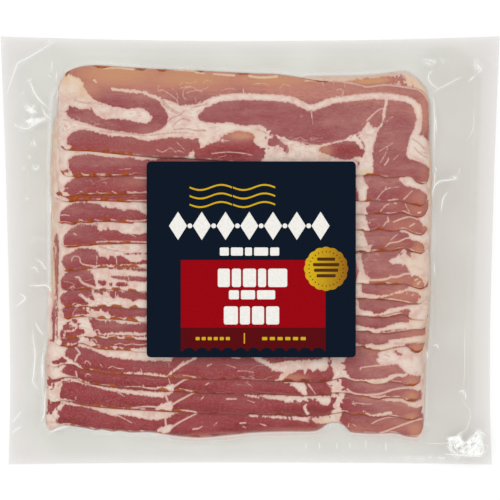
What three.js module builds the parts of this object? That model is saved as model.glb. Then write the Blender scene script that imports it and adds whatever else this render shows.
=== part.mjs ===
// A vacuum pack of sixteen shingled rashers of streaky bacon, lying on its back with its label up.
// Millimetres, +Z up, +Y towards the pack's top edge. The origin is on the table, under the middle of the pack.
// The clear pouch and the rashers in it are one solid: the film is drawn down tight on them, so its outer
// face shows each rasher's lip on top and each rasher's other edge below. The label is a plate of its own.
import * as THREE from "three";

// The pouch, seen from above: wider at its top corners, where the rim lies flat, than at its waist.
const packHeight = 242;
const topHalfWidth = 141;
const waistHalfWidth = 135.4;
const waistAt = -0.6;
const footFlare = 1.2;
const topEdgeDip = 2.6;
const bottomEdgeDip = 1.2;

// The heat-sealed rim and the rounded line of the formed pocket inside it
const rimThickness = 0.6;
const sideSealWidth = 11;
const endSealWidth = 6.8;
const pocketCorner = 20;
const shoulderHeight = 0.9;
const shoulderWidth = 2.4;

// How high the two films meet, between the bacon and the rim
const webHeightAtEnds = 2.3;
const webHeightAtSides = 4.9;
const cornerLift = 1.6;
const rimWave = 0.35;

// The bacon. Each rasher lies on the one before it, from the bottom of the pack up, with its lip showing.
const rasherThickness = 2.6;
const lipRise = 0.85 * rasherThickness;
const lipRun = 1.1;
const rasherWidthLeft = 47;
const rasherWidthRight = 58;
// Where each lip lies, at the rasher's left and right end, from the top rasher down to the first one laid
const lips = [
  [56.8, 42.1],
  [42.7, 28.0],
  [31.9, 20.6],
  [28.6, 11.0],
  [16.4, 1.6],
  [3.1, -1.2],
  [-9.9, -18.4],
  [-21.8, -26.8],
  [-31.4, -37.0],
  [-38.1, -45.5],
  [-48.9, -53.6],
  [-54.0, -56.6],
  [-67.5, -74.9],
  [-76.0, -83.3],
  [-88.4, -93.5],
  [-102.8, -104.6],
];
const leftEndTop = -108.6;
const leftEndBottom = -114.4;
const rightEndTop = 102.4;
const rightEndBottom = 98.6;
const upperEdge = 103.2;
const upperEdgeDip = 2.0;
const baconCorner = 7;

// The stack is one rasher thick at its first lip, about five in the middle and under two at its upper edge.
const layersInMiddle = 4.7;
const layersAtTop = 1.1;
const buildUpLength = 46;
const runOutLength = 50;
const filmSlopeOut = 6.5;
const filmSlopeIn = 1.6;
const stackUnevenness = 0.28;

// The label, and how it lies on the lips under it
const labelWidth = 117.4;
const labelHeight = 110;
const labelMiddle = [0.7, -5.0];
const labelThickness = 0.35;
const labelCorner = 2.4;
const labelGap = 0.3;

// The grid that both faces are worked out on
const columnsInSeal = 1;
const columnsInWeb = 3;
const columnsOnSlope = 3;
const columnsOnBacon = 15;
const rowsInSeal = 1;
const rowsInWeb = 2;
const rowsOnSlope = 2;
const rowsOnTopRasher = 4;

const halfHeight = packHeight / 2;
const { lerp, smoothstep, clamp } = THREE.MathUtils;

// Half of the pouch's width at a height y, from its foot to its top corners
function pouchHalfWidth(y) {
  const v = y / halfHeight;
  if (v < waistAt) return waistHalfWidth + footFlare * ((waistAt - v) / (1 + waistAt)) ** 2;
  return lerp(waistHalfWidth, topHalfWidth, ((v - waistAt) / (1 - waistAt)) ** 1.6);
}

function pouchTop(x) {
  return halfHeight - topEdgeDip * (1 - (x / topHalfWidth) ** 2);
}

function pouchBottom(x) {
  return -halfHeight + bottomEdgeDip * (1 - (x / topHalfWidth) ** 2);
}

function baconLeft(y) {
  return lerp(leftEndTop, leftEndBottom, smoothstep(-y, 20, 70)) + 0.7 * Math.sin(y / 9);
}

function baconRight(y) {
  return lerp(rightEndTop, rightEndBottom, smoothstep(-y, 20, 80)) + 0.5 * Math.sin(y / 7 + 1);
}

// How far along the bacon a point is, 0 at the left end and 1 at the right end
function alongBacon(x) {
  return clamp((x - leftEndTop) / (rightEndTop - leftEndTop), -0.1, 1.1);
}

function lipAt(k, x) {
  return lerp(lips[k][0], lips[k][1], alongBacon(x)) + 0.5 * Math.sin(x / 17 + 2.1 * k);
}

function baconBottom(x) {
  return lipAt(lips.length - 1, x);
}

function baconTop(x) {
  return upperEdge - upperEdgeDip * (1 - (2 * alongBacon(x) - 1) ** 2);
}

// How far inside the bacon's rounded outline a point is; negative outside it
function insideBacon(x, y) {
  const dx = Math.min(x - baconLeft(y), baconRight(y) - x);
  const dy = Math.min(y - baconBottom(x), baconTop(x) - y);
  const cut = Math.hypot(Math.max(baconCorner - dx, 0), Math.max(baconCorner - dy, 0));
  return dx < baconCorner || dy < baconCorner ? baconCorner - cut : Math.min(dx, dy);
}

function insidePocket(x, y) {
  const dx = pouchHalfWidth(y) - sideSealWidth - Math.abs(x);
  const dy = Math.min(pouchTop(x) - y, y - pouchBottom(x)) - endSealWidth;
  const cut = Math.hypot(Math.max(pocketCorner - dx, 0), Math.max(pocketCorner - dy, 0));
  return dx < pocketCorner || dy < pocketCorner ? pocketCorner - cut : Math.min(dx, dy);
}

// The films' height where nothing lies between them: highest at the sides and lifted at the corners
function webLevel(x, y) {
  const a = Math.abs(x) / topHalfWidth;
  const b = Math.abs(y) / halfHeight;
  const sides = (webHeightAtSides - webHeightAtEnds) * a * a * (1 - b * b);
  const corners = cornerLift * (a * b) ** 4;
  const wave = rimWave * a * Math.sin(y / 13 + 0.8) + rimWave * b * Math.sin(x / 17);
  const shoulder = shoulderHeight * smoothstep(-insidePocket(x, y), -shoulderWidth, 0);
  return webHeightAtEnds + sides + corners + wave + shoulder;
}

// The middle height of the shingled face, with the lips evened out
function stackLevel(x, y) {
  const up = clamp((y - baconBottom(x)) / buildUpLength, 0, 1);
  const down = clamp((baconTop(x) - y) / runOutLength, 0, 1);
  const rise = 0.55 + (layersInMiddle - 0.55) * (1 - (1 - up) ** 1.5);
  const layers = Math.min(rise, lerp(layersAtTop, layersInMiddle, 1 - (1 - down) ** 1.8));
  const uneven = stackUnevenness * (Math.sin(x / 11 + y / 29) + Math.sin(x / 6.3 - y / 41) / 2);
  return rasherThickness * layers + uneven * smoothstep(up, 0.1, 0.6);
}

function topFace(x, y, step) {
  const stack = stackLevel(x, y) + step * lipRise;
  const web = webLevel(x, y) + rimThickness;
  return lerp(web, Math.max(stack, 1.2), smoothstep(insideBacon(x, y), -filmSlopeOut, filmSlopeIn));
}

function bottomFace(x, y, step) {
  const under = webLevel(x, y);
  const clear = smoothstep(-insideBacon(x, y), -filmSlopeIn, filmSlopeOut);
  return clear * under + (1 - clear) * step;
}

// Stations along a line through the pouch: the places given by anchors, with so many steps between each two
function stations(anchors, steps) {
  const found = [];
  steps.forEach((count, i) => {
    for (let s = 0; s < count; s++) found.push(lerp(anchors[i], anchors[i + 1], s / count));
  });
  found.push(anchors[anchors.length - 1]);
  return found;
}

function columnPlaces(y) {
  const edge = pouchHalfWidth(y);
  const anchors = [-edge, sideSealWidth - edge, baconLeft(y) - filmSlopeOut, baconLeft(y) + filmSlopeIn];
  anchors.push(baconRight(y) - filmSlopeIn, baconRight(y) + filmSlopeOut, edge - sideSealWidth, edge);
  return stations(anchors, columnSteps);
}

// The rows above the table of lips: each lip has a row at its foot, one on its crest and one on its back.
function topRows(x) {
  const rows = stations(
    [pouchBottom(x), pouchBottom(x) + endSealWidth, baconBottom(x) - filmSlopeOut, baconBottom(x) - lipRun],
    [rowsInSeal, rowsInWeb, rowsOnSlope],
  ).map((y) => ({ y, step: 0 }));
  rows.pop();
  for (let k = lips.length - 1; k >= 0; k--) {
    const lip = lipAt(k, x);
    const next = k > 0 ? lipAt(k - 1, x) - lipRun : lip + 0.28 * (baconTop(x) - lip);
    rows.push({ y: lip - lipRun, step: k === lips.length - 1 ? 0 : -0.5 });
    rows.push({ y: lip, step: 0.5 });
    rows.push({ y: lerp(lip, next, 0.55), step: k > 0 ? 0.1 : 0.3 });
  }
  const last = rows[rows.length - 1].y;
  stations(
    [last, baconTop(x) - filmSlopeIn, baconTop(x) + filmSlopeOut, pouchTop(x) - endSealWidth, pouchTop(x)],
    [rowsOnTopRasher, rowsOnSlope + 1, rowsInWeb, rowsInSeal],
  ).forEach((y, i) => {
    if (i > 0) rows.push({ y, step: 0 });
  });
  return rows;
}

// The underside has as many rows. Each rasher's upper edge leaves a shallow groove between two flat bands.
const grooveDepth = 0.9;
const grooveWidth = 1.4;
function bottomRows(x) {
  const count = topRows(x).length;
  const lead = rowsInSeal + rowsInWeb + rowsOnSlope;
  const tail = rowsInSeal + rowsInWeb + rowsOnSlope + 1;
  const first = stations(
    [pouchBottom(x), pouchBottom(x) + endSealWidth, baconBottom(x) - filmSlopeOut, baconBottom(x) + filmSlopeIn],
    [rowsInSeal, rowsInWeb, rowsOnSlope],
  );
  const last = stations(
    [baconTop(x) - filmSlopeIn, baconTop(x) + filmSlopeOut, pouchTop(x) - endSealWidth, pouchTop(x)],
    [rowsOnSlope + 1, rowsInWeb, rowsInSeal],
  );
  const rows = first.map((y) => ({ y, step: 0 }));
  const width = lerp(rasherWidthLeft, rasherWidthRight, alongBacon(x));
  const grooves = Math.floor((count - lead - tail - 2) / 4);
  const lowest = baconBottom(x) + width;
  const pitch = (last[0] - 4 - lowest) / grooves;
  const spare = count - first.length - last.length - 4 * grooves;
  for (let s = 1; s <= spare; s++) rows.push({ y: lerp(rows[lead].y, lowest - 4, s / (spare + 1)), step: 0 });
  for (let g = 0; g < grooves; g++) {
    const y = lowest + g * pitch;
    [-1, 0, 1].forEach((side) => {
      rows.push({ y: y + side * grooveWidth, step: side === 0 ? grooveDepth : 0 });
    });
    rows.push({ y: y + pitch / 2, step: 0 });
  }
  last.forEach((y) => rows.push({ y, step: 0 }));
  return rows;
}

const columnSteps = [
  columnsInSeal,
  columnsInWeb,
  columnsOnSlope,
  columnsOnBacon,
  columnsOnSlope,
  columnsInWeb,
  columnsInSeal,
];

// A box of 1 x 1 x 1 with a grid on it, whose points are then moved to where the shape has them
function shapedBox(columns, rows, place) {
  const geometry = new THREE.BoxGeometry(1, 1, 1, columns, rows, 1);
  const points = geometry.attributes.position;
  for (let i = 0; i < points.count; i++) {
    const column = Math.round((points.getX(i) + 0.5) * columns);
    const row = Math.round((points.getY(i) + 0.5) * rows);
    points.setXYZ(i, ...place(column, row, points.getZ(i) > 0));
  }
  geometry.computeVertexNormals();
  return geometry;
}

function pouchGeometry() {
  const columns = columnSteps.reduce((sum, n) => sum + n, 0);
  const rows = topRows(0).length - 1;
  return shapedBox(columns, rows, (column, row, onTop) => {
    const rowsAt = onTop ? topRows : bottomRows;
    let x = columnPlaces(0)[column];
    let found = rowsAt(x)[row];
    // A column leans with y and a row with x, so each is worked out again at the other's place.
    for (let pass = 0; pass < 4; pass++) {
      x = columnPlaces(found.y)[column];
      found = rowsAt(x)[row];
    }
    const height = onTop ? topFace : bottomFace;
    return [x, found.y, height(x, found.y, found.step)];
  });
}

// The label bridges the lips, so it lies at the height of their crests.
function labelLevel(x, y) {
  const crown = stackLevel(0, y) + 0.5 * lipRise + stackUnevenness * 1.5;
  return crown + labelGap;
}

function labelGeometry() {
  const columns = 12;
  const rows = 14;
  const inset = labelCorner * (1 - Math.SQRT1_2);
  // The outer rows and columns are a corner radius wide, so that the corner points can move in to round it.
  const along = (i, steps, length) => {
    if (i === 0) return -length / 2;
    if (i === steps) return length / 2;
    return lerp(-length / 2 + labelCorner, length / 2 - labelCorner, (i - 1) / (steps - 2));
  };
  return shapedBox(columns, rows, (column, row, onTop) => {
    let x = along(column, columns, labelWidth);
    let y = along(row, rows, labelHeight);
    if (column % columns === 0 && row % rows === 0) {
      x -= Math.sign(x) * inset;
      y -= Math.sign(y) * inset;
    }
    x += labelMiddle[0];
    y += labelMiddle[1];
    return [x, y, labelLevel(x, y) + (onTop ? labelThickness : 0)];
  });
}

function piece(name, geometry, color, roughness) {
  const mesh = new THREE.Mesh(geometry, new THREE.MeshStandardMaterial({ color, roughness, metalness: 0 }));
  mesh.name = name;
  return mesh;
}

const baconPack = new THREE.Group();
baconPack.add(piece("sealed_pouch", pouchGeometry(), 0xb8706c, 0.25));
baconPack.add(piece("front_label", labelGeometry(), 0x151e2c, 0.5));

export default baconPack;
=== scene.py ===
import math

import bmesh
import bpy
import numpy as np
from mathutils import Matrix, Vector


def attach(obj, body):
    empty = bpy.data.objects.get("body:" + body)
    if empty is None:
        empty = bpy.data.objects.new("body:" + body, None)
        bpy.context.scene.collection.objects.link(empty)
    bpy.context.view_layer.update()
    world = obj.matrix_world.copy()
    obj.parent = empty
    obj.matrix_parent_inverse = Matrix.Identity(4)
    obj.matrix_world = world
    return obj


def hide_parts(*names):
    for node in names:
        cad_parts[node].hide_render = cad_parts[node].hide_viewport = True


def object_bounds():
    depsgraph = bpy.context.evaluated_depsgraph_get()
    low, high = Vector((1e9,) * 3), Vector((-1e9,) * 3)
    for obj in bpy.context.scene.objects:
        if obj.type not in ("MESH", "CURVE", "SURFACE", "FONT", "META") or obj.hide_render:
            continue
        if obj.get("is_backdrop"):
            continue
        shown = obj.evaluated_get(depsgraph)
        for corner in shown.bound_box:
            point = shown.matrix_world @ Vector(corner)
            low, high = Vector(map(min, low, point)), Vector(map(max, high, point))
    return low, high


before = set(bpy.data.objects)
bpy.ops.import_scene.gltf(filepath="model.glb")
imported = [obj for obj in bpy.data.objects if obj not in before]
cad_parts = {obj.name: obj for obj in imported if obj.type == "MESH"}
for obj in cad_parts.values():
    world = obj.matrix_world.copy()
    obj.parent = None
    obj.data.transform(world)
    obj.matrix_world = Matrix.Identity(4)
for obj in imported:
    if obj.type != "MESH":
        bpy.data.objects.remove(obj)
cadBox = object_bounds()
scene = bpy.context.scene
millimetre = 0.001
perMetre = 1000
draws = np.random.default_rng(16)

# How the 500 x 500 view lies on the pack: one of its pixels, in mm, and the pixel that falls on the middle
view = {"pixel": 0.565, "middleX": 250.0, "middleY": 250.5}


# From pixels of the view to millimetres on the pack, and back
def onPack(points):
    p = np.array(points, float)
    across = (p[:, 0] - view["middleX"]) * view["pixel"]
    up = (view["middleY"] - p[:, 1]) * view["pixel"]
    return np.column_stack([across, up])


def inView(x, y):
    return x / view["pixel"] + view["middleX"], view["middleY"] - y / view["pixel"]


def lerp(a, b, t):
    return a + (b - a) * t


def smooth(value, low, high):
    t = np.clip((value - low) / (high - low), 0, 1)
    return t * t * (3 - 2 * t)


# A smooth line through points, with a few steps between each two
def throughPoints(points, closed=False, steps=4):
    p = np.array(points, float)
    if len(p) < 3:
        return p
    before = np.roll(p, 1, 0) if closed else np.vstack([p[:1], p[:-1]])
    after = np.roll(p, -1, 0) if closed else np.vstack([p[1:], p[-1:]])
    beyond = np.roll(after, -1, 0) if closed else np.vstack([after[1:], after[-1:]])
    last = len(p) if closed else len(p) - 1
    found = []
    for i in range(last):
        a, b, c, d = before[i], p[i], after[i], beyond[i]
        for s in range(steps):
            t = s / steps
            found.append(0.5 * (2 * b + (c - a) * t + (2 * a - 5 * b + 4 * c - d) * t * t
                                + (3 * b - a - 3 * c + d) * t ** 3))
    found.append(p[0] if closed else p[-1])
    return np.array(found)


# How far each place is from a line, how far along it the nearest point lies, and whether it is inside it
def measureTo(x, y, line):
    best = np.full(x.shape, np.inf)
    along = np.zeros(x.shape)
    inside = np.zeros(x.shape, bool)
    for i in range(len(line) - 1):
        (ax, ay), (bx, by) = line[i], line[i + 1]
        dx, dy = bx - ax, by - ay
        t = np.clip(((x - ax) * dx + (y - ay) * dy) / max(dx * dx + dy * dy, 1e-9), 0, 1)
        gap = np.hypot(x - ax - t * dx, y - ay - t * dy)
        nearer = gap < best
        best = np.where(nearer, gap, best)
        along = np.where(nearer, (i + t) / (len(line) - 1), along)
        if dy != 0:
            inside ^= ((ay > y) != (by > y)) & (x < ax + dx * (y - ay) / dy)
    return best, along, inside


# Which places are within reach of the box round a line
def nearLine(x, y, line, reach):
    return ((x > line[:, 0].min() - reach) & (x < line[:, 0].max() + reach)
            & (y > line[:, 1].min() - reach) & (y < line[:, 1].max() + reach))


# The height at x of a line that runs from left to right
def lineAt(line, x):
    return np.interp(x, line[:, 0], line[:, 1])


# How far places of the view are from a patch's middle, as a share of its half sizes, squared
def patchGap(px, py, patch):
    middleX, middleY, halfX, halfY = patch
    return ((px - middleX) / halfX) ** 2 + ((py - middleY) / halfY) ** 2


# Smooth even noise between -1 and 1, from a fixed table of random values
noiseSize = 64
noiseTable = draws.uniform(-1, 1, (noiseSize, noiseSize))


# Each turn reads the table from another place.
def unevenness(x, y, size, turn=0):
    a, b = x / size + 17.3 * turn, y / size + 5.1 * turn
    i, j = np.floor(a).astype(int), np.floor(b).astype(int)
    s, t = smooth(a - i, 0, 1), smooth(b - j, 0, 1)
    corner = lambda p, q: noiseTable[p % noiseSize, q % noiseSize]
    low = lerp(corner(i, j), corner(i + 1, j), s)
    high = lerp(corner(i, j + 1), corner(i + 1, j + 1), s)
    return lerp(low, high, t)


pouch = {
    "height": 242.0, "topHalfWidth": 141.0, "waistHalfWidth": 135.4, "waistAt": -0.6, "footFlare": 1.2,
    "widening": 1.6, "topEdgeDip": 2.6, "bottomEdgeDip": 1.2, "rimThickness": 0.6, "sideSealWidth": 11.0,
    "endSealWidth": 6.8, "pocketCorner": 20.0, "shoulderHeight": 0.9, "shoulderWidth": 2.4,
    "webHeightAtEnds": 2.3, "webHeightAtSides": 4.9, "cornerLift": 1.6, "rimWave": 0.35,
    "waveAlongSides": 13, "waveAlongEnds": 17, "waveTurn": 0.8,
    "roughHalfWidth": 140.0, "roughHalfHeight": 120.0,  # where settling the film's outline starts
}
halfHeight = pouch["height"] / 2


def pouchHalfWidth(y):
    v = y / halfHeight
    at = pouch["waistAt"]
    below = pouch["waistHalfWidth"] + pouch["footFlare"] * (np.clip(at - v, 0, 1) / (1 + at)) ** 2
    rising = (np.clip(v - at, 0, 2) / (1 - at)) ** pouch["widening"]
    above = lerp(pouch["waistHalfWidth"], pouch["topHalfWidth"], rising)
    return np.where(v < at, below, above)


def pouchTop(x):
    return halfHeight - pouch["topEdgeDip"] * (1 - (x / pouch["topHalfWidth"]) ** 2)


def pouchBottom(x):
    return -halfHeight + pouch["bottomEdgeDip"] * (1 - (x / pouch["topHalfWidth"]) ** 2)


def roundedInside(dx, dy, corner):
    cut = np.hypot(np.maximum(corner - dx, 0), np.maximum(corner - dy, 0))
    return np.where((dx < corner) | (dy < corner), corner - cut, np.minimum(dx, dy))


def insidePocket(x, y):
    dx = pouchHalfWidth(y) - pouch["sideSealWidth"] - np.abs(x)
    dy = np.minimum(pouchTop(x) - y, y - pouchBottom(x)) - pouch["endSealWidth"]
    return roundedInside(dx, dy, pouch["pocketCorner"])


def webLevel(x, y):
    a, b = np.abs(x) / pouch["topHalfWidth"], np.abs(y) / halfHeight
    sides = (pouch["webHeightAtSides"] - pouch["webHeightAtEnds"]) * a * a * (1 - b * b)
    corners = pouch["cornerLift"] * (a * b) ** 4
    sideWave = np.sin(y / pouch["waveAlongSides"] + pouch["waveTurn"])
    wave = pouch["rimWave"] * (a * sideWave + b * np.sin(x / pouch["waveAlongEnds"]))
    shoulder = pouch["shoulderHeight"] * smooth(-insidePocket(x, y), -pouch["shoulderWidth"], 0)
    return pouch["webHeightAtEnds"] + sides + corners + wave + shoulder


# The label: coated paper in one printed ground colour, with fields and plain shapes in other inks over it
label = {
    "width": 117.4, "height": 110.0, "middleX": 0.7, "middleY": -5.0, "thickness": 0.35, "corner": 2.4,
    "lipRise": 2.21, "gap": 0.72, "ink": 0.04, "inkStep": 0.02, "inkSunk": 0.05, "bendStep": 3.0,
    "navy": "081322", "red": "90000C", "darkRed": "54060C", "cream": "E4E2DC", "gold": "C9A318",
    "oldGold": "8C5A14", "brown": "4A2A10", "mottle": 1.6, "shine": 0.05,
}


rasher = {
    "thickness": 2.5,
    "leastThickness": 0.12,
    "edgeRound": 1.5,      # its edge is rounded over this much, up to a share of its thickness
    "edgeShare": 0.14,
    "roundedShare": 0.55,
    "pressedOver": 6.5,    # and it is pressed thinner over this much
    "uneven": 0.07,        # the share by which its thickness wanders
    "unevenSize": 13.0,
    "feather": 14.0,       # a rasher thins out over this much of its hidden upper part
    "featherShare": 0.2,
    "topFeather": 5.0,     # and the top one over this much of its shown upper edge
    "topFeatherShare": 0.6,
    "layers": 5.4,         # so many lips up is a rasher's own upper edge
    "mostAbove": 5,        # rashers above it that can lie on one of its ends
    "fullAbove": 4,        # so many of them press the end out to the stack's side
    "leftWander": 0.5,
    "rightWander": 0.4,
    "lipCorner": 4.5,
    "upperCorner": 8.0,
    "shownUpperCorner": 1.2,
    "filmUnder": 0.2,      # the base film and the juice on it
    "pressed": 0.045,      # the share of its thickness that the stack loses under the label
    "pressedFrom": -8.0,   # from so far outside the label
    "pressedFully": -1.0,
    "meshStep": 0.5,
    "topMeshStep": 0.58,   # for the top rasher, which shows the most
    "hiddenStep": 3.0,
    "meshLength": 214.0,
    "roughLeft": -108.0,   # where settling its outline starts
    "roughRight": 100.0,
    "secondShows": (15, 32),
    "lowered": (0.9, 0.5),  # in pixels, at the left and less at the right, over the next two
    "loweredLess": (300, 360),
}

# The lips from the top rasher down: points of the view along each lip's lower edge
lips = [
    [(57, 146), (63, 148), (69, 150), (91, 151), (107, 152.7), (131, 155.2), (158, 157.6), (178, 158),
     (207, 160), (300, 168), (350, 175), (363, 175.8), (373, 175), (379, 175.8), (385, 177.8),
     (397, 177.1), (407, 176.1), (412, 177.8), (415, 181.5), (420, 184), (426, 183.8), (430, 180.5)],
    [(59, 170), (61, 173.5), (66, 175.6), (75, 176.3), (79, 177.3), (85, 176), (95, 176.3), (107, 176.2),
     (120, 175.8), (133, 175.2), (146, 174.7), (250, 190), (357, 201), (368, 200.5), (377, 201.2), (388, 202),
     (397, 200.8), (407, 203.2), (414, 205), (420, 206.2), (425, 204.5), (428, 201)],
    [(57, 193.5), (64, 196), (70, 195.4), (81, 194.3), (93, 194.7), (104, 194.4), (120, 194.4),
     (133, 194.2), (146, 193.8), (250, 205), (358, 214.2), (367, 213.9), (377, 213.7), (390, 214.5),
     (397, 213), (403, 212.5), (409, 215.5), (417, 217.3), (424, 215.9), (429, 212)],
    [(54, 196), (58, 199), (69, 201.2), (73, 201.4), (77, 200), (86, 199.8), (101, 200.2), (117, 201),
     (130, 201.7), (146, 202.1), (250, 216), (358, 230), (372, 230.2), (379, 229.4), (391, 231.2),
     (402, 229.4), (407, 230.8), (412, 233.3), (419, 235), (424, 234), (428, 229)],
    [(54, 219.5), (60, 223.2), (66, 222.4), (72, 224), (76, 223.8), (80, 221.8), (91, 222.3), (96, 221.4),
     (111, 221.2), (120, 221.9), (133, 222.8), (146, 222), (250, 236), (358, 251.4), (372, 251.4),
     (388, 250.8), (394, 250.7), (401, 248.4), (407, 249), (412, 251.5), (417, 252.8), (422, 253.3),
     (426, 250.5)],
    [(58, 240.5), (61, 245), (65, 246.6), (76, 246.4), (83, 245), (91, 245), (98, 244), (120, 243.2),
     (146, 243.2), (250, 246), (358, 247), (400, 246), (428, 245)],
    [(58.5, 265.5), (62, 269), (68, 270.8), (74, 270.2), (81, 268.8), (98, 267.3), (112, 266.5),
     (134, 266.4), (146, 267.3), (250, 276), (357, 283.2), (370, 283.6), (377, 284.4), (385, 283.7),
     (393, 284.4), (403, 283.4), (408, 285), (414, 287.2), (420, 288.8), (425, 286), (429, 281)],
    [(58, 286), (62, 289), (69, 289.4), (74, 288), (79, 288.8), (91, 287.7), (98, 288.8), (112, 288.8),
     (124, 289.4), (133, 291), (146, 291.2), (250, 295), (357, 297.9), (370, 298.6), (380, 299.5),
     (388, 299.9), (397, 301), (405, 302.5), (412, 303.9), (420, 303), (428, 298)],
    [(58.5, 302), (62, 306), (68, 307.2), (72, 305.6), (80, 306), (98, 305.7), (112, 305.9), (127, 307.2),
     (134, 308), (146, 307.4), (250, 311), (357, 314.8), (370, 316.9), (385, 317), (393, 315.3), (400, 314),
     (405, 315), (411, 318.3), (418, 319.4), (425, 319.2), (428, 315)],
    [(58, 313), (62, 316.6), (69, 318.5), (74, 316.6), (87, 315.5), (101, 317.7), (116, 318.5),
     (132, 320), (146, 321.4), (250, 326), (357, 330.2), (370, 332), (385, 333.3), (393, 331.8),
     (404, 330.3), (411, 328.8), (424, 328.6), (427, 326)],
    [(54.5, 333), (57, 336), (63, 338.2), (72, 337), (80, 336), (85, 335), (94, 336.2), (109, 337.7),
     (131, 338), (146, 339), (250, 343), (357, 345.6), (362, 347.6), (375, 349.3), (382, 350),
     (389, 348.4), (399, 346.4), (405, 345.6), (409, 347), (412, 350), (417, 352.3), (422, 350.7),
     (426, 346)],
    [(53.5, 341), (56, 344.6), (60, 344.8), (65, 345.4), (72, 346), (78, 343), (82, 341.7), (88, 343.9),
     (95, 346.7), (112, 348.7), (130, 349.4), (146, 351), (250, 349), (357, 344), (400, 343), (424, 342)],
    [(46, 362), (49, 365.6), (56, 366), (64, 363.4), (74, 363.6), (81, 367.6), (97, 370.7), (112, 373),
     (141, 374.5), (170, 377), (190, 378), (217, 378.6), (233, 378.2), (264, 379.8), (296, 381.2),
     (325, 381.2), (336, 378), (343, 376.6), (348, 378.3), (355, 380.7), (362, 381), (369, 382.8),
     (375, 383.8), (382, 383.4), (389, 381.6), (395, 382), (402, 383), (406, 384.8), (412, 385.4),
     (417, 384.1), (422, 380)],
    [(47.5, 376), (51, 379.4), (56, 378.8), (64, 377), (74, 376.2), (79, 379), (83, 381.7), (91, 383.6),
     (106, 385.5), (131, 387.4), (160, 389.4), (179, 391.1), (212, 392.8), (254, 393.4), (275, 393.9),
     (306, 395.3), (327, 393.6), (336, 392), (344, 392.2), (355, 394.8), (368, 396.8), (378, 399.2),
     (383, 397.8), (395, 397.7), (402, 397.8), (406, 400.2), (412, 400.9), (418, 399.4), (422, 394.5)],
    [(47, 399), (51, 402.5), (56, 401.6), (64, 400), (74, 401.8), (81, 404.5), (96, 406.5), (112, 408),
     (131, 409.2), (150, 410.3), (179, 411.9), (212, 413.3), (254, 413.9), (285, 414.4), (306, 414.9),
     (327, 414.6), (337, 413), (345, 411.9), (352, 414.6), (362, 414.4), (372, 416.8), (380, 418),
     (389, 416.5), (402, 418), (409, 419.9), (413, 420), (418, 418.5), (423, 414)],
    [(46.5, 429.5), (50, 431.6), (56, 426.5), (64, 424.9), (72, 425.8), (88, 428.4), (96, 430),
     (102, 429.2), (112, 431.2), (120, 430.6), (131, 432.2), (150, 432), (169, 434.8), (182, 436.4),
     (201, 437.4), (233, 434.6), (254, 432.4), (285, 431.3), (311, 431.3), (320, 429.2), (326, 425),
     (331, 422.6), (338, 422.6), (344, 425.5), (350, 431.6), (355, 433), (375, 434), (392, 433.4),
     (399, 434.4), (405, 436.3), (412, 437.4), (419, 437.2), (423, 433.5), (424.5, 428)],
]
rasherCount = len(lips)
# The label covers the middle of the lips from one rasher to before another.
firstBehindLabel, firstBelowLabel = 5, 12
# The points follow the middle of the rind's dashes; a lip's lower edge is a little under them.
lipLines = []
lowered, less = rasher["lowered"]
start, end = rasher["loweredLess"]
for points in lips:
    edge = [(x, y + lowered - less * min(max((x - start) / (end - start), 0), 1)) for x, y in points]
    lipLines.append(throughPoints(onPack(edge)))

# Where each rasher's visible strip ends, left and right, in pixels of the view
leftEnds = [57.2, 59.8, 57.6, 55.0, 55.2, 59.4, 59.2, 58.5, 58.2, 59.2, 55.6, 54.2, 46.8, 47.9, 46.7, 45.8]
rightEnds = [430, 427.8, 428.8, 429, 428.6, 428, 429.7, 428.4, 428, 427.4, 426.2, 424, 421.8, 422, 423, 424.6]
# How far the rashers under them reach: the sloping side of the stack
stackLeft = onPack([(56, 60), (51.5, 110), (50, 160), (50.5, 220), (51, 300), (48, 342), (44, 360),
                    (43.6, 435)])
stackRight = onPack([(431, 60), (433.5, 100), (433.2, 170), (431.5, 240), (431, 300), (429, 345), (426, 365),
                     (426, 435)])
# The top rasher's own upper edge, and how the second one shows beyond it at the right
topEdge = throughPoints(onPack([(57, 86), (60, 80.5), (63, 75.6), (67, 71), (76, 67.2), (84, 65.4),
                                (95, 64.6), (120, 66), (150, 68), (200, 70), (250, 72.6), (278, 73.6),
                                (301, 77), (322, 80.4), (348, 81), (367, 85.3), (387, 83.6), (412, 86.8),
                                (421, 89), (427, 95), (430, 102)]))
secondEdge = throughPoints(onPack([(57, 96), (120, 84), (200, 82), (280, 80), (301, 76.3), (329, 75.3),
                                   (361, 74.7), (380, 73.2), (403, 70.6), (411, 72.8), (419, 79),
                                   (426, 87), (431, 96)]))


def lipAt(k, x):
    return lineAt(lipLines[k], x)


# Lips further up than the first one stand for the rashers' upper edges at the top of the stack.
def virtualLip(position, x):
    if position >= 0:
        low = int(position)
        return lerp(lipAt(low, x), lipAt(min(low + 1, rasherCount - 1), x), position - low)
    return lerp(lipAt(0, x), lineAt(topEdge, x), -position / rasher["layers"])


def upperAt(k, x):
    if k == 0:
        return lineAt(topEdge, x)
    own = virtualLip(k - rasher["layers"], x)
    if k == 1:
        return lerp(own, lineAt(secondEdge, x), smooth(x, *rasher["secondShows"]))
    return own


def stackSides(y):
    left = np.interp(-y, -stackLeft[:, 1], stackLeft[:, 0])
    right = np.interp(-y, -stackRight[:, 1], stackRight[:, 0])
    return left, right


# How far, from 0 to 1, those lying on rasher k at a height y press its end at x outwards
def layersAbove(k, x, y):
    above = np.zeros(np.shape(y))
    for m in range(max(0, k - rasher["mostAbove"]), k):
        above = above + smooth(y - lipAt(m, x), 0.3, 1.3)
    return np.clip(above / rasher["fullAbove"], 0, 1)


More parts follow.
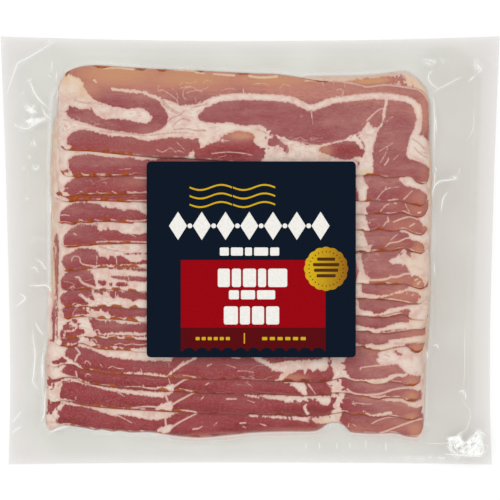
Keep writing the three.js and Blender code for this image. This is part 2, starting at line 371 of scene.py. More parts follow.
def endsOf(k, y):
    leftX, rightX = onPack([(leftEnds[k], 0), (rightEnds[k], 0)])[:, 0]
    outLeft, outRight = stackSides(y)
    left = lerp(leftX, np.minimum(outLeft, leftX), layersAbove(k, leftX + 1, y))
    right = lerp(rightX, np.maximum(outRight, rightX), layersAbove(k, rightX - 1, y))
    left = left + rasher["leftWander"] * unevenness(y, 0 * y + 9 * k, 6, 1)
    right = right + rasher["rightWander"] * unevenness(y, 0 * y + 9 * k, 5, 2)
    return left, right


def upperCorner(k):
    return rasher["shownUpperCorner"] if k < 2 else rasher["upperCorner"]


# How far inside rasher k's outline a place is; negative outside it
def insideRasher(k, x, y):
    left, right = endsOf(k, y)
    dx = np.minimum(x - left, right - x)
    low, high = y - lipAt(k, x), upperAt(k, x) - y
    byLip = roundedInside(dx, low, rasher["lipCorner"])
    byTop = roundedInside(dx, high, upperCorner(k))
    return np.minimum(byLip, byTop), high


def thicknessOf(k, x, y):
    inside, high = insideRasher(k, x, y)
    edge = np.sqrt(1 - (1 - np.clip(inside / rasher["edgeRound"], 0, 1)) ** 2)
    edge = lerp(rasher["edgeShare"], rasher["roundedShare"], edge)
    crown = np.sin(np.clip(inside / rasher["pressedOver"], 0, 1) * np.pi / 2)
    edge = edge + (1 - rasher["roundedShare"]) * crown
    if k > 0:
        thin = lerp(rasher["featherShare"], 1, smooth(high, 0, rasher["feather"]))
    else:
        thin = lerp(rasher["topFeatherShare"], 1, smooth(high, 0, rasher["topFeather"]))
    uneven = 1 + rasher["uneven"] * unevenness(x, y, rasher["unevenSize"], 3 + k)
    return np.where(inside > -0.02, rasher["thickness"] * edge * thin * uneven, 0)


# How far in from the label's outline a place is; negative beside it
def underLabel(x, y):
    return np.minimum(label["width"] / 2 - np.abs(x - label["middleX"]),
                      label["height"] / 2 - np.abs(y - label["middleY"]))


# The height of the upper face of rasher k, with what lies under it
def stackTop(k, x, y):
    height = np.zeros(np.shape(x))
    for j in range(k, rasherCount):
        height = height + thicknessOf(j, x, y)
    pressed = smooth(underLabel(x, y), rasher["pressedFrom"], rasher["pressedFully"])
    return rasher["filmUnder"] + height * (1 - rasher["pressed"] * pressed)


# A closed slab on a grid of its own: place() gives a point for each (u, v, on its upper face?)
def gridSlab(name, columns, rows, place):
    bm = bmesh.new()
    bmesh.ops.create_grid(bm, x_segments=columns, y_segments=rows, size=0.5)
    made = bmesh.ops.extrude_face_region(bm, geom=bm.faces[:])
    upper = [v for v in made["geom"] if isinstance(v, bmesh.types.BMVert)]
    bmesh.ops.translate(bm, verts=upper, vec=(0, 0, 1))
    bmesh.ops.recalc_face_normals(bm, faces=bm.faces[:])
    mesh = bpy.data.meshes.new(name)
    bm.to_mesh(mesh)
    bm.free()
    flat = np.empty(len(mesh.vertices) * 3)
    mesh.vertices.foreach_get("co", flat)
    flat = flat.reshape(-1, 3)
    u, v, onTop = flat[:, 0] + 0.5, flat[:, 1] + 0.5, flat[:, 2] > 0.5
    placed = place(u, v, onTop)
    mesh.vertices.foreach_set("co", (placed * millimetre).ravel())
    mesh.polygons.foreach_set("use_smooth", np.ones(len(mesh.polygons), bool))
    mesh.update()
    return mesh, placed, onTop


def addObject(name, mesh, material):
    mesh.materials.append(material)
    piece = bpy.data.objects.new(name, mesh)
    scene.collection.objects.link(piece)
    return piece


def setAttribute(mesh, name, values):
    attribute = mesh.attributes.new(name, "FLOAT", "POINT")
    attribute.data.foreach_set("value", np.asarray(values, np.float32))


def colour(hexText):
    channels = [int(hexText[i:i + 2], 16) / 255 for i in (0, 2, 4)]
    linear = [c / 12.92 if c <= 0.04045 else ((c + 0.055) / 1.055) ** 2.4 for c in channels]
    return (*linear, 1.0)


# Adds a node, sets its own settings and its inputs, and links what is itself a socket
def addNode(tree, kind, settings=None, inputs=None):
    node = tree.nodes.new(kind)
    for key, value in (settings or {}).items():
        setattr(node, key, value)
    for key, value in (inputs or {}).items():
        if isinstance(value, bpy.types.NodeSocket):
            tree.links.new(value, node.inputs[key])
        else:
            node.inputs[key].default_value = value
    return node


def newMaterial(name):
    material = bpy.data.materials.new(name)
    material.use_nodes = True
    tree = material.node_tree
    tree.nodes.clear()
    return material, tree


# What each rasher shows, drawn on lean meat in pixels of the view and in this order:
# fat and lean areas by their outlines; seams of fat, veins of lean and faint threads in the fat by a line and
# its two widths
marbling = {
    0: [
        ("fat", [(50, 116), (61, 76), (74, 76), (82, 81), (84, 87), (88, 93), (94, 99), (105, 104),
            (116, 107), (129, 109), (139, 108), (147, 111), (152, 117), (150, 122), (144, 124), (126, 120),
            (114, 119), (105, 120), (95, 114), (91, 110), (79, 109), (70, 106), (67, 111)]),
        ("fat", [(50, 112), (66, 112), (70, 118), (93, 126), (107, 130), (139, 134), (152, 133), (161, 130),
            (166, 124), (168, 115), (160, 102), (170, 104), (179, 108), (188, 107), (207, 102), (206, 107),
            (198, 117), (202, 121), (208, 123), (229, 123), (245, 126), (257, 125), (266, 128), (278, 135),
            (304, 144), (316, 145), (329, 143), (342, 140), (356, 133), (363, 146), (361, 150), (354, 143),
            (342, 142), (329, 145), (318, 150), (329, 156), (345, 160), (362, 158), (362, 174), (340, 172),
            (266, 172), (264, 153), (254, 143), (253, 137), (240, 131), (226, 135), (222, 138), (229, 141),
            (214, 143), (203, 148), (195, 154), (195, 162), (188, 162), (188, 158), (190, 153), (200, 147),
            (198, 142), (183, 138), (171, 138), (146, 141), (129, 137), (116, 137), (105, 135), (86, 130),
            (76, 132), (70, 135), (68, 140), (69, 144), (73, 149), (62, 150), (50, 146)]),
        ("seam", [(112, 89), (140, 92), (150, 95), (158, 98.5), (174, 108)], (2.6, 4.4)),
        ("seam", [(166, 103), (179, 108.5), (188, 109), (200.5, 106.5), (216, 99.5), (231, 97), (250, 96.5),
            (284.5, 98.5), (295, 101), (304, 105.5), (310, 107.5), (316.5, 106.5), (326.5, 102.5), (337, 100),
            (375, 96), (399.5, 98), (409.5, 100.5), (416, 106), (419, 115), (418, 126), (414.5, 136),
            (412, 149)], (7.4, 5.8)),
        ("fat", [(414, 109), (419, 103), (422, 111), (421, 131), (419, 135), (424, 136), (428, 142),
            (432, 152), (432, 169), (427, 167), (422, 163), (407, 158), (407, 147), (410, 136), (414, 128),
            (416, 117)]),
        ("seam", [(386.5, 97), (386, 104), (384, 111), (383.5, 119), (380.5, 126), (374, 131.5)], (3.4, 2)),
        ("fat", [(352, 136), (361, 131), (368, 121), (371, 126), (378, 130), (373, 149), (372, 174),
            (356, 177), (353, 160), (362, 157), (364, 149), (362, 142), (355, 139)]),
        ("seam", [(383, 108), (377, 111), (366.5, 121)], (0.9, 1.5)),
        ("seam", [(305, 80.5), (314, 80), (322, 81.5), (336, 80.5), (361, 84.5), (367, 86.5), (387, 84.5),
            (412, 88), (420, 90), (426, 96), (429.5, 103), (430, 112)], (1.5, 2.2)),
        ("seam", [(103, 68), (118, 67.5), (133, 69)], (1, 1.8)),
        ("seam", [(174, 69.5), (194, 70.5)], (1.2, 1.6)),
        ("seam", [(195, 72), (204, 73)], (1.2, 1.4)),
        ("seam", [(213, 73.5), (234, 75)], (1.4, 2.4)),
        ("seam", [(249, 75.5), (258, 77), (267, 77), (277, 76)], (2.2, 2.4)),
        ("seam", [(180, 88), (190, 86), (200, 90), (208, 87)], (0.6, 0.5)),
        ("seam", [(186, 93), (196, 90), (204, 93)], (0.5, 0.5)),
        ("seam", [(212, 154), (228.5, 152.5), (245, 154), (253, 156)], (0.9, 0.7)),
        ("lean", [(269, 139), (283, 143), (287, 148), (287, 154), (284, 150), (278, 146), (270, 146)]),
        ("lean", [(222, 138), (235, 133), (243, 132), (251, 133), (254, 137), (251, 140), (229, 141)]),
        ("seam", [(157, 150), (163.5, 152.5), (171, 148.5), (176, 152.5), (179, 151),
            (184, 153)], (0.7, 0.6)),
        ("seam", [(177.5, 143), (185, 150.5)], (0.7, 0.5)),
        ("seam", [(159, 85), (158, 91), (163, 90), (176, 99), (178.5, 107)], (0.5, 0.9)),
        ("seam", [(190, 87), (184, 89), (183, 96), (186, 99)], (0.7, 0.6)),
        ("seam", [(195, 98), (197, 103), (201, 101)], (0.5, 0.7)),
        ("seam", [(180, 85), (183, 82), (191, 83), (196, 81)], (0.5, 0.4)),
        ("seam", [(203, 83), (207, 80), (212, 82)], (0.5, 0.4)),
        ("seam", [(172, 88), (176, 92), (178, 98)], (0.4, 0.5)),
        ("seam", [(222, 90), (230, 88), (237, 90)], (0.5, 0.4)),
        ("seam", [(254, 84), (262, 83), (270, 85)], (0.5, 0.4)),
        ("seam", [(280, 88), (284, 84), (290, 86)], (0.5, 0.4)),
        ("seam", [(311, 111), (313, 124)], (1.2, 0.5)),
        ("seam", [(243.5, 89), (243.5, 94)], (1, 1.4)),
        ("seam", [(337, 90), (341, 89), (343.5, 93), (340, 96.5), (336, 96)], (0.8, 0.8)),
        ("seam", [(333.5, 81), (334, 85)], (0.7, 0.5)),
        ("seam", [(344.5, 82), (345, 87)], (0.7, 0.5)),
        ("seam", [(322, 81), (324, 86)], (0.8, 0.5)),
        ("seam", [(378, 152), (393, 143)], (0.5, 0.5)),
        ("seam", [(380, 163), (386, 152), (387, 147)], (0.6, 0.4)),
        ("seam", [(384, 165.5), (387.5, 160.5), (388, 158)], (1.4, 0.9)),
        ("seam", [(393, 160), (398, 155)], (0.6, 0.4)),
        ("seam", [(386, 122), (393, 116.5)], (0.6, 0.4)),
        ("seam", [(94, 80), (96.5, 82.5)], (2.4, 1)),
        ("vein", [(91, 108), (93, 112), (95, 114)], (0.9, 0.5)),
        ("thread", [(161, 99), (168, 106), (175, 111), (182, 113.5)], (0.5, 0.5)),
        ("thread", [(163, 104), (170, 110), (178, 114)], (0.3, 0.4)),
        ("thread", [(168, 122), (172, 118), (180, 115), (184, 111)], (0.5, 0.4)),
        ("thread", [(173, 127), (177, 122), (183, 119), (190, 121)], (0.3, 0.4)),
        ("thread", [(174, 130), (186, 129), (196, 131), (205, 131)], (0.4, 0.4)),
        ("thread", [(191, 108), (207, 104)], (0.4, 0.3)),
        ("thread", [(150, 136), (164, 134), (178, 133), (194, 134)], (0.4, 0.3)),
        ("thread", [(100, 131.5), (146, 136)], (0.4, 0.4)),
        ("thread", [(74, 100), (84, 103), (94, 103), (102, 105)], (0.4, 0.3)),
        ("thread", [(258, 130), (268, 134), (278, 139), (288, 142)], (0.5, 0.4)),
        ("thread", [(412, 139), (418, 143), (424, 149)], (0.4, 0.4)),
        ("thread", [(414, 148), (420, 154), (427, 158)], (0.4, 0.3)),
        ("vein", [(353, 160), (358, 163), (356, 168)], (0.8, 0.7)),
    ],
    1: [
        ("fat", [(300, 79), (301, 75), (380, 71), (403, 68), (412, 70), (427, 85), (434, 96), (434, 106),
            (420, 91), (412, 88), (387, 85), (367, 87), (348, 83), (322, 82)]),
        ("lean", [(344, 80), (396, 77), (408, 79), (413, 84), (400, 85), (380, 83), (366, 84), (350, 82)]),
        ("fat", [(55, 144), (150, 154), (160, 159), (139, 160), (133, 158), (114, 158), (90, 155), (77, 156),
            (72, 158), (69, 162), (70, 169), (74, 174), (75, 178), (55, 178)]),
        ("lean", [(63, 172), (67, 170), (70, 172), (66, 174)]),
        ("seam", [(82, 173.5), (86, 175.5), (90, 176)], (0.9, 0.6)),
        ("seam", [(98, 174.5), (106, 174)], (0.9, 0.7)),
        ("seam", [(120, 170), (132, 169)], (0.5, 0.4)),
        ("fat", [(355, 178), (359, 174), (363, 176), (364, 182), (368, 188), (366, 193), (366, 204),
            (359, 204), (358, 195), (355, 186)]),
        ("fat", [(398, 179), (404, 177), (412, 177), (416, 182), (424, 182), (431, 180), (431, 196),
            (426, 195), (421, 191), (416, 189), (405, 186)]),
        ("seam", [(376.5, 199), (381.5, 192.5), (385, 190), (390, 188), (399.5, 187)], (0.9, 0.7)),
        ("seam", [(384.5, 190), (385.5, 186.5)], (0.9, 0.5)),
        ("seam", [(403, 199.5), (411.5, 191)], (1.1, 0.7)),
    ],
    2: [
        ("fat", [(52, 172), (76, 175), (65, 186), (66, 189), (64, 192), (68, 193), (71, 198), (52, 199)]),
        ("seam", [(64, 188.5), (69, 188.5)], (1.2, 0.8)),
        ("seam", [(135, 178), (147, 178.5)], (1.3, 1.6)),
        ("seam", [(81, 191.5), (86, 194)], (0.8, 0.6)),
        ("seam", [(97.5, 192), (101, 193.5)], (0.8, 0.6)),
        ("seam", [(113, 191.5), (117, 193.5)], (0.8, 0.6)),
        ("seam", [(128, 192), (137, 193.5), (147, 192)], (0.9, 1)),
        ("fat", [(355, 200), (368, 200), (369, 205), (366, 208), (368, 214), (366, 216), (355, 216)]),
        ("seam", [(379.5, 212), (383.5, 207), (386, 205), (388, 204.5)], (0.8, 1.2)),
        ("seam", [(394, 203.5), (396, 204)], (1.6, 1)),
        ("seam", [(404.5, 204), (409, 213.5)], (0.7, 0.8)),
        ("seam", [(417.5, 213), (420, 212.5)], (1.8, 1.2)),
    ],
    3: [
        ("fat", [(50, 194), (62, 196), (70, 200), (66, 203), (50, 203)]),
        ("seam", [(128, 200.5), (138, 201), (147, 200.5)], (0.9, 1.2)),
        ("fat", [(355, 213), (363, 213), (367, 222), (371, 222), (367, 225), (369, 229), (368, 232),
            (355, 232)]),
        ("seam", [(383, 226), (386, 222), (388, 221.5), (387, 217.5)], (1, 1.4)),
        ("seam", [(393, 222), (403.5, 218), (410.5, 217), (417, 219.5)], (1.3, 1.6)),
        ("seam", [(409, 226.5), (414, 223.5)], (1.4, 0.9)),
        ("fat", [(418, 218), (424, 215), (431, 214), (431, 226), (426, 227), (422, 225)]),
    ],
    4: [
        ("fat", [(48, 199), (74, 202), (110, 200), (147, 202), (147, 214), (139, 211), (128, 209), (125, 211),
            (116, 208), (109, 208), (106, 206), (104, 208), (98, 204), (77, 203), (65, 209), (61, 214),
            (60, 225),
            (48, 225)]),
        ("seam", [(62, 215.5), (66, 215), (70.5, 216)], (1, 0.8)),
        ("seam", [(80, 219.5), (84, 221)], (1, 0.6)),
        ("seam", [(96, 219.5), (99.5, 221)], (1, 0.6)),
        ("seam", [(112, 219.5), (116, 220.5)], (0.9, 0.6)),
        ("seam", [(127, 220.5), (137, 221.5), (147, 220)], (1.2, 1.2)),
        ("fat", [(355, 229), (362, 230), (367, 244), (372, 245), (367, 253), (355, 253)]),
        ("seam", [(385, 246.5), (389.5, 243), (397, 242), (403.5, 239), (408.5, 238),
            (413.5, 238.5)], (1, 1.7)),
        ("seam", [(389.5, 240.5), (397, 234)], (0.6, 0.6)),
        ("fat", [(398, 231), (403, 229), (419, 234), (431, 227), (431, 240), (428, 252), (425, 254),
            (424, 247), (421, 243), (409, 239), (407, 234)]),
    ],
    5: [
        ("fat", [(52, 219), (75, 222), (110, 220), (147, 220), (147, 233), (125, 234), (116, 230), (112, 231),
            (109, 228), (107, 231), (104, 230), (101, 231), (97, 227), (86, 226), (79, 227), (72, 229),
            (67, 234),
            (65, 238), (64, 244), (65, 250), (52, 250)]),
        ("seam", [(97, 242), (110, 241.5), (147, 242)], (0.9, 1.3)),
        ("seam", [(74.5, 233.5), (77.5, 235)], (1.2, 0.9)),
        ("seam", [(133, 235), (136.5, 237)], (1, 0.7)),
    ],
    6: [
        ("fat", [(50, 238), (90, 243), (147, 241), (147, 270), (50, 276)]),
        ("lean", [(63, 261), (68, 254), (75, 252), (78, 249), (90, 249), (96, 250), (100, 256), (106, 257),
            (109, 259), (110, 255), (116, 258), (118, 256), (123, 256), (133, 262), (147, 260), (147, 264),
            (101, 265), (91, 269), (80, 271), (68, 270)]),
        ("seam", [(72.5, 260.5), (74, 257), (77, 256), (80.5, 258), (81.5, 262), (85, 264.5),
            (95, 266)], (0.8, 1.3)),
        ("seam", [(98, 256), (97.5, 264)], (0.9, 0.7)),
        ("seam", [(117, 257), (117.5, 264.5)], (0.8, 0.6)),
        ("vein", [(125.5, 254), (147, 253.5)], (0.8, 1.5)),
        ("thread", [(100, 247), (112, 250), (125, 252)], (0.3, 0.3)),
        ("fat", [(354, 256), (361, 253), (362, 265), (365, 275), (370, 278), (366, 286), (354, 286),
            (358, 272)]),
        ("fat", [(398, 255), (402, 248), (406, 251), (406, 255), (410, 257), (412, 252), (431, 250),
            (431, 288), (424, 289), (423, 282), (419, 278), (415, 276), (408, 277), (409, 273), (405, 266),
            (400, 264), (393, 264), (388, 261)]),
        ("seam", [(363.5, 278.5), (371.5, 280), (385, 279), (390, 277), (397, 276.5), (403.5, 274),
            (409, 273.5)], (2, 2)),
        ("seam", [(389.5, 274), (390, 277)], (0.7, 1.2)),
        ("seam", [(414, 280), (417, 278.5)], (1.4, 1)),
        ("seam", [(416.5, 284), (419.5, 281)], (1.2, 0.9)),
        ("vein", [(400, 254.5), (403, 252)], (0.9, 0.7)),
    ],
    7: [
        ("fat", [(50, 264), (90, 266), (147, 263), (147, 292), (50, 296)]),
        ("lean", [(62, 283), (62, 279), (65, 275), (70, 272), (83, 269), (88, 270), (94, 275), (96, 286),
            (92, 287), (91, 290), (66, 291), (62, 286)]),
        ("seam", [(76.5, 277), (80, 277.5), (81.5, 280.5), (85, 283.5), (95, 287)], (1.6, 2.4)),
        ("seam", [(71, 288), (73.5, 286), (76, 288)], (0.8, 0.7)),
        ("lean", [(99, 281), (103, 280), (107, 281), (107, 285), (101, 285)]),
        ("lean", [(117, 283), (122, 282), (128, 283), (128, 286), (118, 286)]),
        ("lean", [(112, 276), (147, 277), (147, 281), (133, 281), (119, 279)]),
        ("lean", [(110, 283), (113, 283), (112, 286), (111, 286)]),
        ("seam", [(129, 277), (129.5, 281)], (0.8, 0.8)),
        ("lean", [(110, 268), (130, 268), (147, 269), (147, 271), (130, 270)]),
        ("fat", [(354, 283), (361, 284), (362, 292), (378, 295), (388, 294), (408, 288), (409, 290),
            (378, 298), (354, 299)]),
        ("fat", [(408, 286), (422, 289), (431, 286), (431, 305), (422, 305), (416, 302), (420, 297),
            (416, 292), (410, 291)]),
        ("seam", [(406, 294), (407, 291)], (0.9, 0.6)),
        ("seam", [(411, 295.5), (413, 293.5)], (1.2, 0.8)),
    ],
    8: [
        ("fat", [(50, 285), (90, 286), (147, 288), (147, 310), (50, 312)]),
        ("lean", [(61, 300), (61, 297), (64, 294), (74, 290), (83, 289), (90, 289), (95, 299), (91, 299),
            (82, 294), (79, 295), (89, 303), (86, 305), (79, 304), (72, 307), (66, 307)]),
        ("seam", [(73.5, 304.5), (75.5, 303), (79, 304)], (0.9, 0.7)),
        ("lean", [(100, 291), (103, 294), (104, 291), (109, 292), (112, 297), (116, 298), (119, 294),
            (120, 297), (127, 298), (134, 301), (140, 299), (147, 299), (147, 293)]),
        ("seam", [(104, 291), (104.5, 296)], (0.9, 0.6)),
        ("seam", [(109.5, 291), (110.5, 298)], (1, 0.8)),
        ("seam", [(116.5, 291), (116, 297)], (0.8, 0.6)),
        ("fat", [(354, 299), (358, 301), (359, 307), (362, 310), (371, 311), (374, 313), (382, 312),
            (390, 308), (409, 305), (431, 298), (431, 322), (418, 322), (408, 318), (408, 309), (388, 314),
            (373, 316), (368, 318), (354, 318)]),
        ("vein", [(391, 313.5), (400, 312.5), (407, 309.5)], (1.6, 1.4)),
        ("vein", [(374, 316), (383, 316)], (1.4, 1.2)),
    ],
    9: [
        ("fat", [(50, 302), (90, 304), (147, 306), (147, 324), (50, 322)]),
        ("lean", [(63, 311), (65, 308), (72, 305), (80, 306), (89, 312), (86, 314), (79, 314), (74, 316),
            (70, 320), (66, 318)]),
        ("seam", [(73.5, 314), (76, 309), (78, 307)], (0.7, 0.5)),
        ("lean", [(95, 306), (97, 310), (102, 308), (106, 312), (109, 311), (112, 315), (133, 318),
            (138, 316), (147, 316), (147, 305), (105, 304)]),
        ("seam", [(103.5, 311), (106, 313)], (0.9, 0.7)),
        ("fat", [(354, 325), (372, 328), (380, 328), (398, 322), (407, 322), (411, 319), (431, 317),
            (431, 331), (409, 330), (388, 332), (376, 335), (354, 334)]),
        ("vein", [(380, 331.5), (405, 329)], (1.3, 1)),
    ],
    10: [
        ("fat", [(48, 312), (87, 314), (94, 330), (104, 333), (118, 332), (147, 333), (147, 342), (60, 342),
            (48, 340)]),
        ("fat", [(86, 315), (110, 317), (147, 318), (147, 323), (127, 324), (118, 323), (112, 321),
            (106, 322)]),
        ("lean", [(65, 326), (69, 324), (75, 327), (73, 329), (68, 330), (65, 329)]),
        ("lean", [(62, 331), (65, 329), (65, 334), (64, 339), (61, 337)]),
        ("lean", [(66, 335), (68, 331), (75, 330), (79, 328), (83, 330), (85, 333), (67, 339)]),
        ("lean", [(73, 321), (77, 320), (78, 322), (75, 323)]),
        ("seam", [(71, 326.5), (73.5, 326), (75, 330)], (0.8, 0.6)),
        ("seam", [(66, 331), (72, 331), (76, 330)], (1, 0.8)),
        ("seam", [(95.5, 330), (99, 329.5), (100, 332)], (0.9, 0.9)),
        ("seam", [(100, 334.5), (112, 333.5), (118, 334.5), (127, 333.5), (136, 335),
            (147, 333.5)], (0.7, 0.8)),
        ("vein", [(98, 334), (105, 335.5), (113, 334.5), (121, 335.5), (130, 335), (139, 336),
            (147, 335)], (1.3, 1.2)),
        ("fat", [(354, 342), (362, 345), (371, 343), (377, 345), (388, 342), (392, 339), (431, 335),
            (431, 342), (408, 343), (403, 346), (393, 347), (384, 351), (370, 351), (354, 348)]),
    ],
    11: [
        ("fat", [(48, 332), (60, 336), (63, 340), (61, 348), (48, 348)]),
        ("fat", [(79, 334), (84, 334), (92, 340), (100, 344), (135, 348), (147, 347), (147, 354), (90, 350),
            (84, 345), (79, 343), (66, 347), (66, 344), (79, 341)]),
        ("seam", [(92, 342), (91.5, 340), (93.5, 338.5), (96.5, 340), (97.5, 342.5)], (0.9, 0.9)),
        ("seam", [(115, 344.5), (121, 343), (126, 344.5), (133, 343.5), (140, 344.5),
            (147, 343.5)], (0.7, 0.9)),
        ("vein", [(97, 345), (120, 348.5)], (0.5, 0.7)),
    ],
    12: [
        ("fat", [(44, 341), (62, 345), (68, 348), (66, 352), (67, 356), (79, 364), (83, 368), (83, 371),
            (60, 370), (44, 368)]),
        ("lean", [(55, 361), (62, 358), (66, 359), (67, 361), (62, 363), (57, 363)]),
        ("lean", [(68, 352), (69, 349), (75, 347), (77, 350), (76, 356), (72, 358), (68, 356)]),
        ("vein", [(69, 357), (73, 359.5)], (0.7, 0.5)),
        ("seam", [(76.5, 347.5), (80.5, 353), (78, 355), (75.5, 360.5)], (1.7, 2)),
        ("fat", [(80, 343), (97, 348), (112, 350), (146, 350), (172, 353), (172, 360), (168, 361), (158, 360),
            (155, 361), (110, 357), (95, 350), (80, 346)]),
        ("seam", [(85.5, 363), (86.5, 360.5), (89, 361.5), (91, 364)], (0.8, 0.8)),
        ("seam", [(101, 364.5), (103, 366.5)], (0.8, 0.6)),
        ("seam", [(109, 367.5), (113, 366), (117, 367.5), (124, 368.5)], (0.7, 0.7)),
        ("seam", [(125, 373), (140, 373), (169, 376.5)], (1.3, 2.6)),
        ("seam", [(141, 368), (142, 371.5)], (0.8, 0.5)),
        ("seam", [(196, 357.5), (179, 366.5), (168, 376)], (2.6, 2)),
        ("seam", [(184, 361), (180, 364.5), (178, 369)], (1, 0.8)),
        ("seam", [(183, 374.5), (196, 377)], (0.6, 1.1)),
        ("seam", [(207.5, 365.5), (212, 363.5)], (1.4, 0.8)),
        ("seam", [(226, 364), (236, 367.5)], (0.5, 0.9)),
        ("seam", [(238, 370.5), (246, 370.5), (254, 372)], (0.6, 0.6)),
        ("seam", [(232, 357), (240, 358)], (1.6, 1.2)),
        ("fat", [(252, 356), (256, 360), (270, 368), (272, 371), (283, 372), (275, 380), (284, 379),
            (290, 374), (297, 371), (303, 370), (305, 374), (308, 369), (313, 372), (317, 369), (322, 371),
            (328, 367), (326, 356), (318, 359), (284, 360), (274, 363), (260, 356)]),
        ("vein", [(262, 358), (272, 361.5), (280, 359.5)], (0.9, 0.5)),
        ("lean", [(286, 377), (290, 374), (296, 373), (303, 374), (307, 377), (308, 382), (298, 379),
            (290, 380)]),
        ("fat", [(331, 354), (345, 354), (344, 362), (345, 368), (348, 375), (355, 379), (382, 378),
            (392, 374), (406, 373), (405, 376), (395, 377), (384, 383), (375, 385), (363, 382), (333, 380),
            (334, 372), (330, 364)]),
        ("fat", [(379, 352), (389, 348), (406, 346), (413, 352), (422, 352), (424, 364), (424, 375),
            (414, 375), (406, 373), (399, 366), (393, 364), (387, 365), (379, 364), (376, 359), (378, 357)]),
        ("vein", [(394, 350.5), (397, 353), (401, 354.5)], (1.6, 0.9)),
        ("thread", [(384, 354), (389, 356)], (0.5, 0.5)),
        ("seam", [(360, 369), (362, 367), (383, 364.5)], (0.9, 1.3)),
    ],
    13: [
        ("fat", [(44, 363), (56, 366), (64, 364), (66, 366), (63, 370), (66, 374), (73, 376), (86, 381),
            (87, 384), (44, 381)]),
        ("lean", [(46, 378), (53, 380), (64, 377), (64, 380), (47, 384)]),
        ("vein", [(62, 371), (64, 372.5)], (1.1, 0.8)),
        ("seam", [(76, 371), (77, 376)], (1.1, 1.5)),
        ("seam", [(86, 376.5), (86.5, 374), (89.5, 374), (92, 376)], (0.8, 0.7)),
        ("seam", [(143.5, 385), (144, 388)], (1.2, 0.6)),
        ("seam", [(125, 386.5), (140, 386.5), (152, 389), (163, 389.5)], (0.7, 1.2)),
        ("fat", [(157, 387), (166, 386), (172, 384), (174, 386), (173, 392), (160, 391)]),
        ("seam", [(168.5, 377.5), (170.5, 384), (172.5, 384.5)], (0.9, 1.2)),
        ("seam", [(197, 375), (184, 380), (174, 386.5), (170, 390)], (1.5, 2.2)),
        ("seam", [(180, 388.5), (192, 391)], (1, 1.2)),
        ("seam", [(206, 384.5), (209, 382.5)], (1.2, 0.8)),
        ("seam", [(245, 382), (252, 386)], (0.5, 0.5)),
        ("fat", [(275, 381), (289, 384), (304, 395), (307, 395), (306, 385), (301, 381), (288, 380)]),
        ("seam", [(308.5, 384.5), (315.5, 394)], (1.5, 0.8)),
        ("fat", [(326, 382), (331, 380), (342, 379), (344, 388), (347, 393), (345, 396), (333, 394),
            (331, 388)]),
        ("seam", [(347, 389), (353, 393), (362, 394.5), (371, 394.5), (380.5, 393.5), (396.5, 388.5),
            (421, 386.5)], (1.7, 2.2)),
        ("seam", [(371, 396.5), (378, 397), (385, 395.5)], (1.8, 1.4)),
        ("fat", [(409, 386), (413, 386), (424, 380), (424, 390), (411, 389)]),
    ],
    14: [
        ("fat", [(44, 388), (60, 381), (63, 382), (61, 388), (60, 398), (66, 399), (72, 403), (44, 404)]),
        ("fat", [(62, 379), (72, 378), (106, 387), (160, 392), (172, 391), (172, 393), (165, 396), (155, 397),
            (112, 391), (80, 383), (70, 382), (62, 383)]),
        ("vein", [(58, 386), (62, 382.5), (70, 380.5)], (0.4, 0.6)),
        ("seam", [(165.5, 394.5), (168.5, 403)], (2, 1.6)),
        ("fat", [(158, 406), (170, 401), (172, 403), (172, 410), (166, 411), (156, 410)]),
        ("seam", [(126, 409), (140, 407), (150, 406.5), (160, 407.5)], (1, 1.6)),
        ("seam", [(117.5, 392), (124.5, 396.5)], (1.2, 0.6)),
        ("seam", [(75.5, 397), (76, 399.5)], (0.7, 0.5)),
        ("seam", [(197, 391), (174, 403.5), (169, 408.5)], (1.4, 2.4)),
        ("seam", [(180, 410), (190, 411), (196, 412.5)], (0.9, 2)),
        ("seam", [(201, 399), (204, 396.5)], (1.1, 0.6)),
        ("seam", [(227, 399), (236, 399)], (1.6, 1.2)),
        ("seam", [(247, 400), (254.5, 402.5)], (0.5, 0.6)),
        ("fat", [(244, 394), (252, 395), (260, 397), (257, 398), (249, 397)]),
        ("fat", [(264, 395), (325, 396), (332, 397), (330, 404), (323, 405), (316, 401), (310, 400),
            (306, 402), (285, 403), (283, 401), (266, 398)]),
        ("seam", [(306.5, 403.5), (304.5, 408), (307.5, 414)], (1.8, 3.2)),
        ("seam", [(296, 402), (300, 404.5)], (0.9, 0.6)),
        ("fat", [(331, 394), (344, 393), (344, 400), (341, 408), (343, 413), (333, 416), (332, 408),
            (334, 400)]),
        ("seam", [(352, 404), (357, 403), (364, 404), (371, 404)], (0.8, 0.8)),
        ("seam", [(353, 401), (355, 405.5)], (0.6, 0.6)),
        ("fat", [(383, 399), (403, 398), (407, 401), (412, 402), (420, 400), (424, 394), (424, 406),
            (412, 407), (402, 402), (386, 401)]),
        ("seam", [(364, 411.5), (372.5, 415.5), (390, 413)], (1.3, 3.4)),
    ],
    15: [
        ("lean", [(40, 402), (57, 402), (57, 408), (48, 416), (40, 416)]),
        ("fat", [(42, 417), (50, 412), (58, 405), (65, 404), (58, 413), (59, 417), (56, 420), (58, 424),
            (64, 425), (62, 430), (52, 434), (42, 434)]),
        ("vein", [(47.5, 404.5), (58, 401.5)], (3, 1)),
        ("fat", [(62, 401), (95, 407), (172, 412), (174, 414), (172, 416), (165, 419), (150, 420), (120, 415),
            (113, 416), (88, 408), (66, 405)]),
        ("seam", [(116.5, 415), (131.5, 423)], (1.4, 0.6)),
        ("seam", [(165, 418.5), (166, 426.5)], (1.8, 1.8)),
        ("fat", [(157, 430), (165, 426), (171, 425), (173, 427), (170, 432), (164, 434), (158, 434)]),
        ("seam", [(197, 413.5), (184, 420), (174, 426), (167.5, 432)], (1.3, 2.2)),
        ("seam", [(193, 429.5), (199, 428.5), (202, 426.5)], (1.6, 0.8)),
        ("seam", [(214, 426), (217, 422.5)], (0.7, 0.5)),
        ("seam", [(240, 423.5), (246, 423)], (1.6, 1.2)),
        ("seam", [(243, 427), (246, 428)], (1.1, 0.8)),
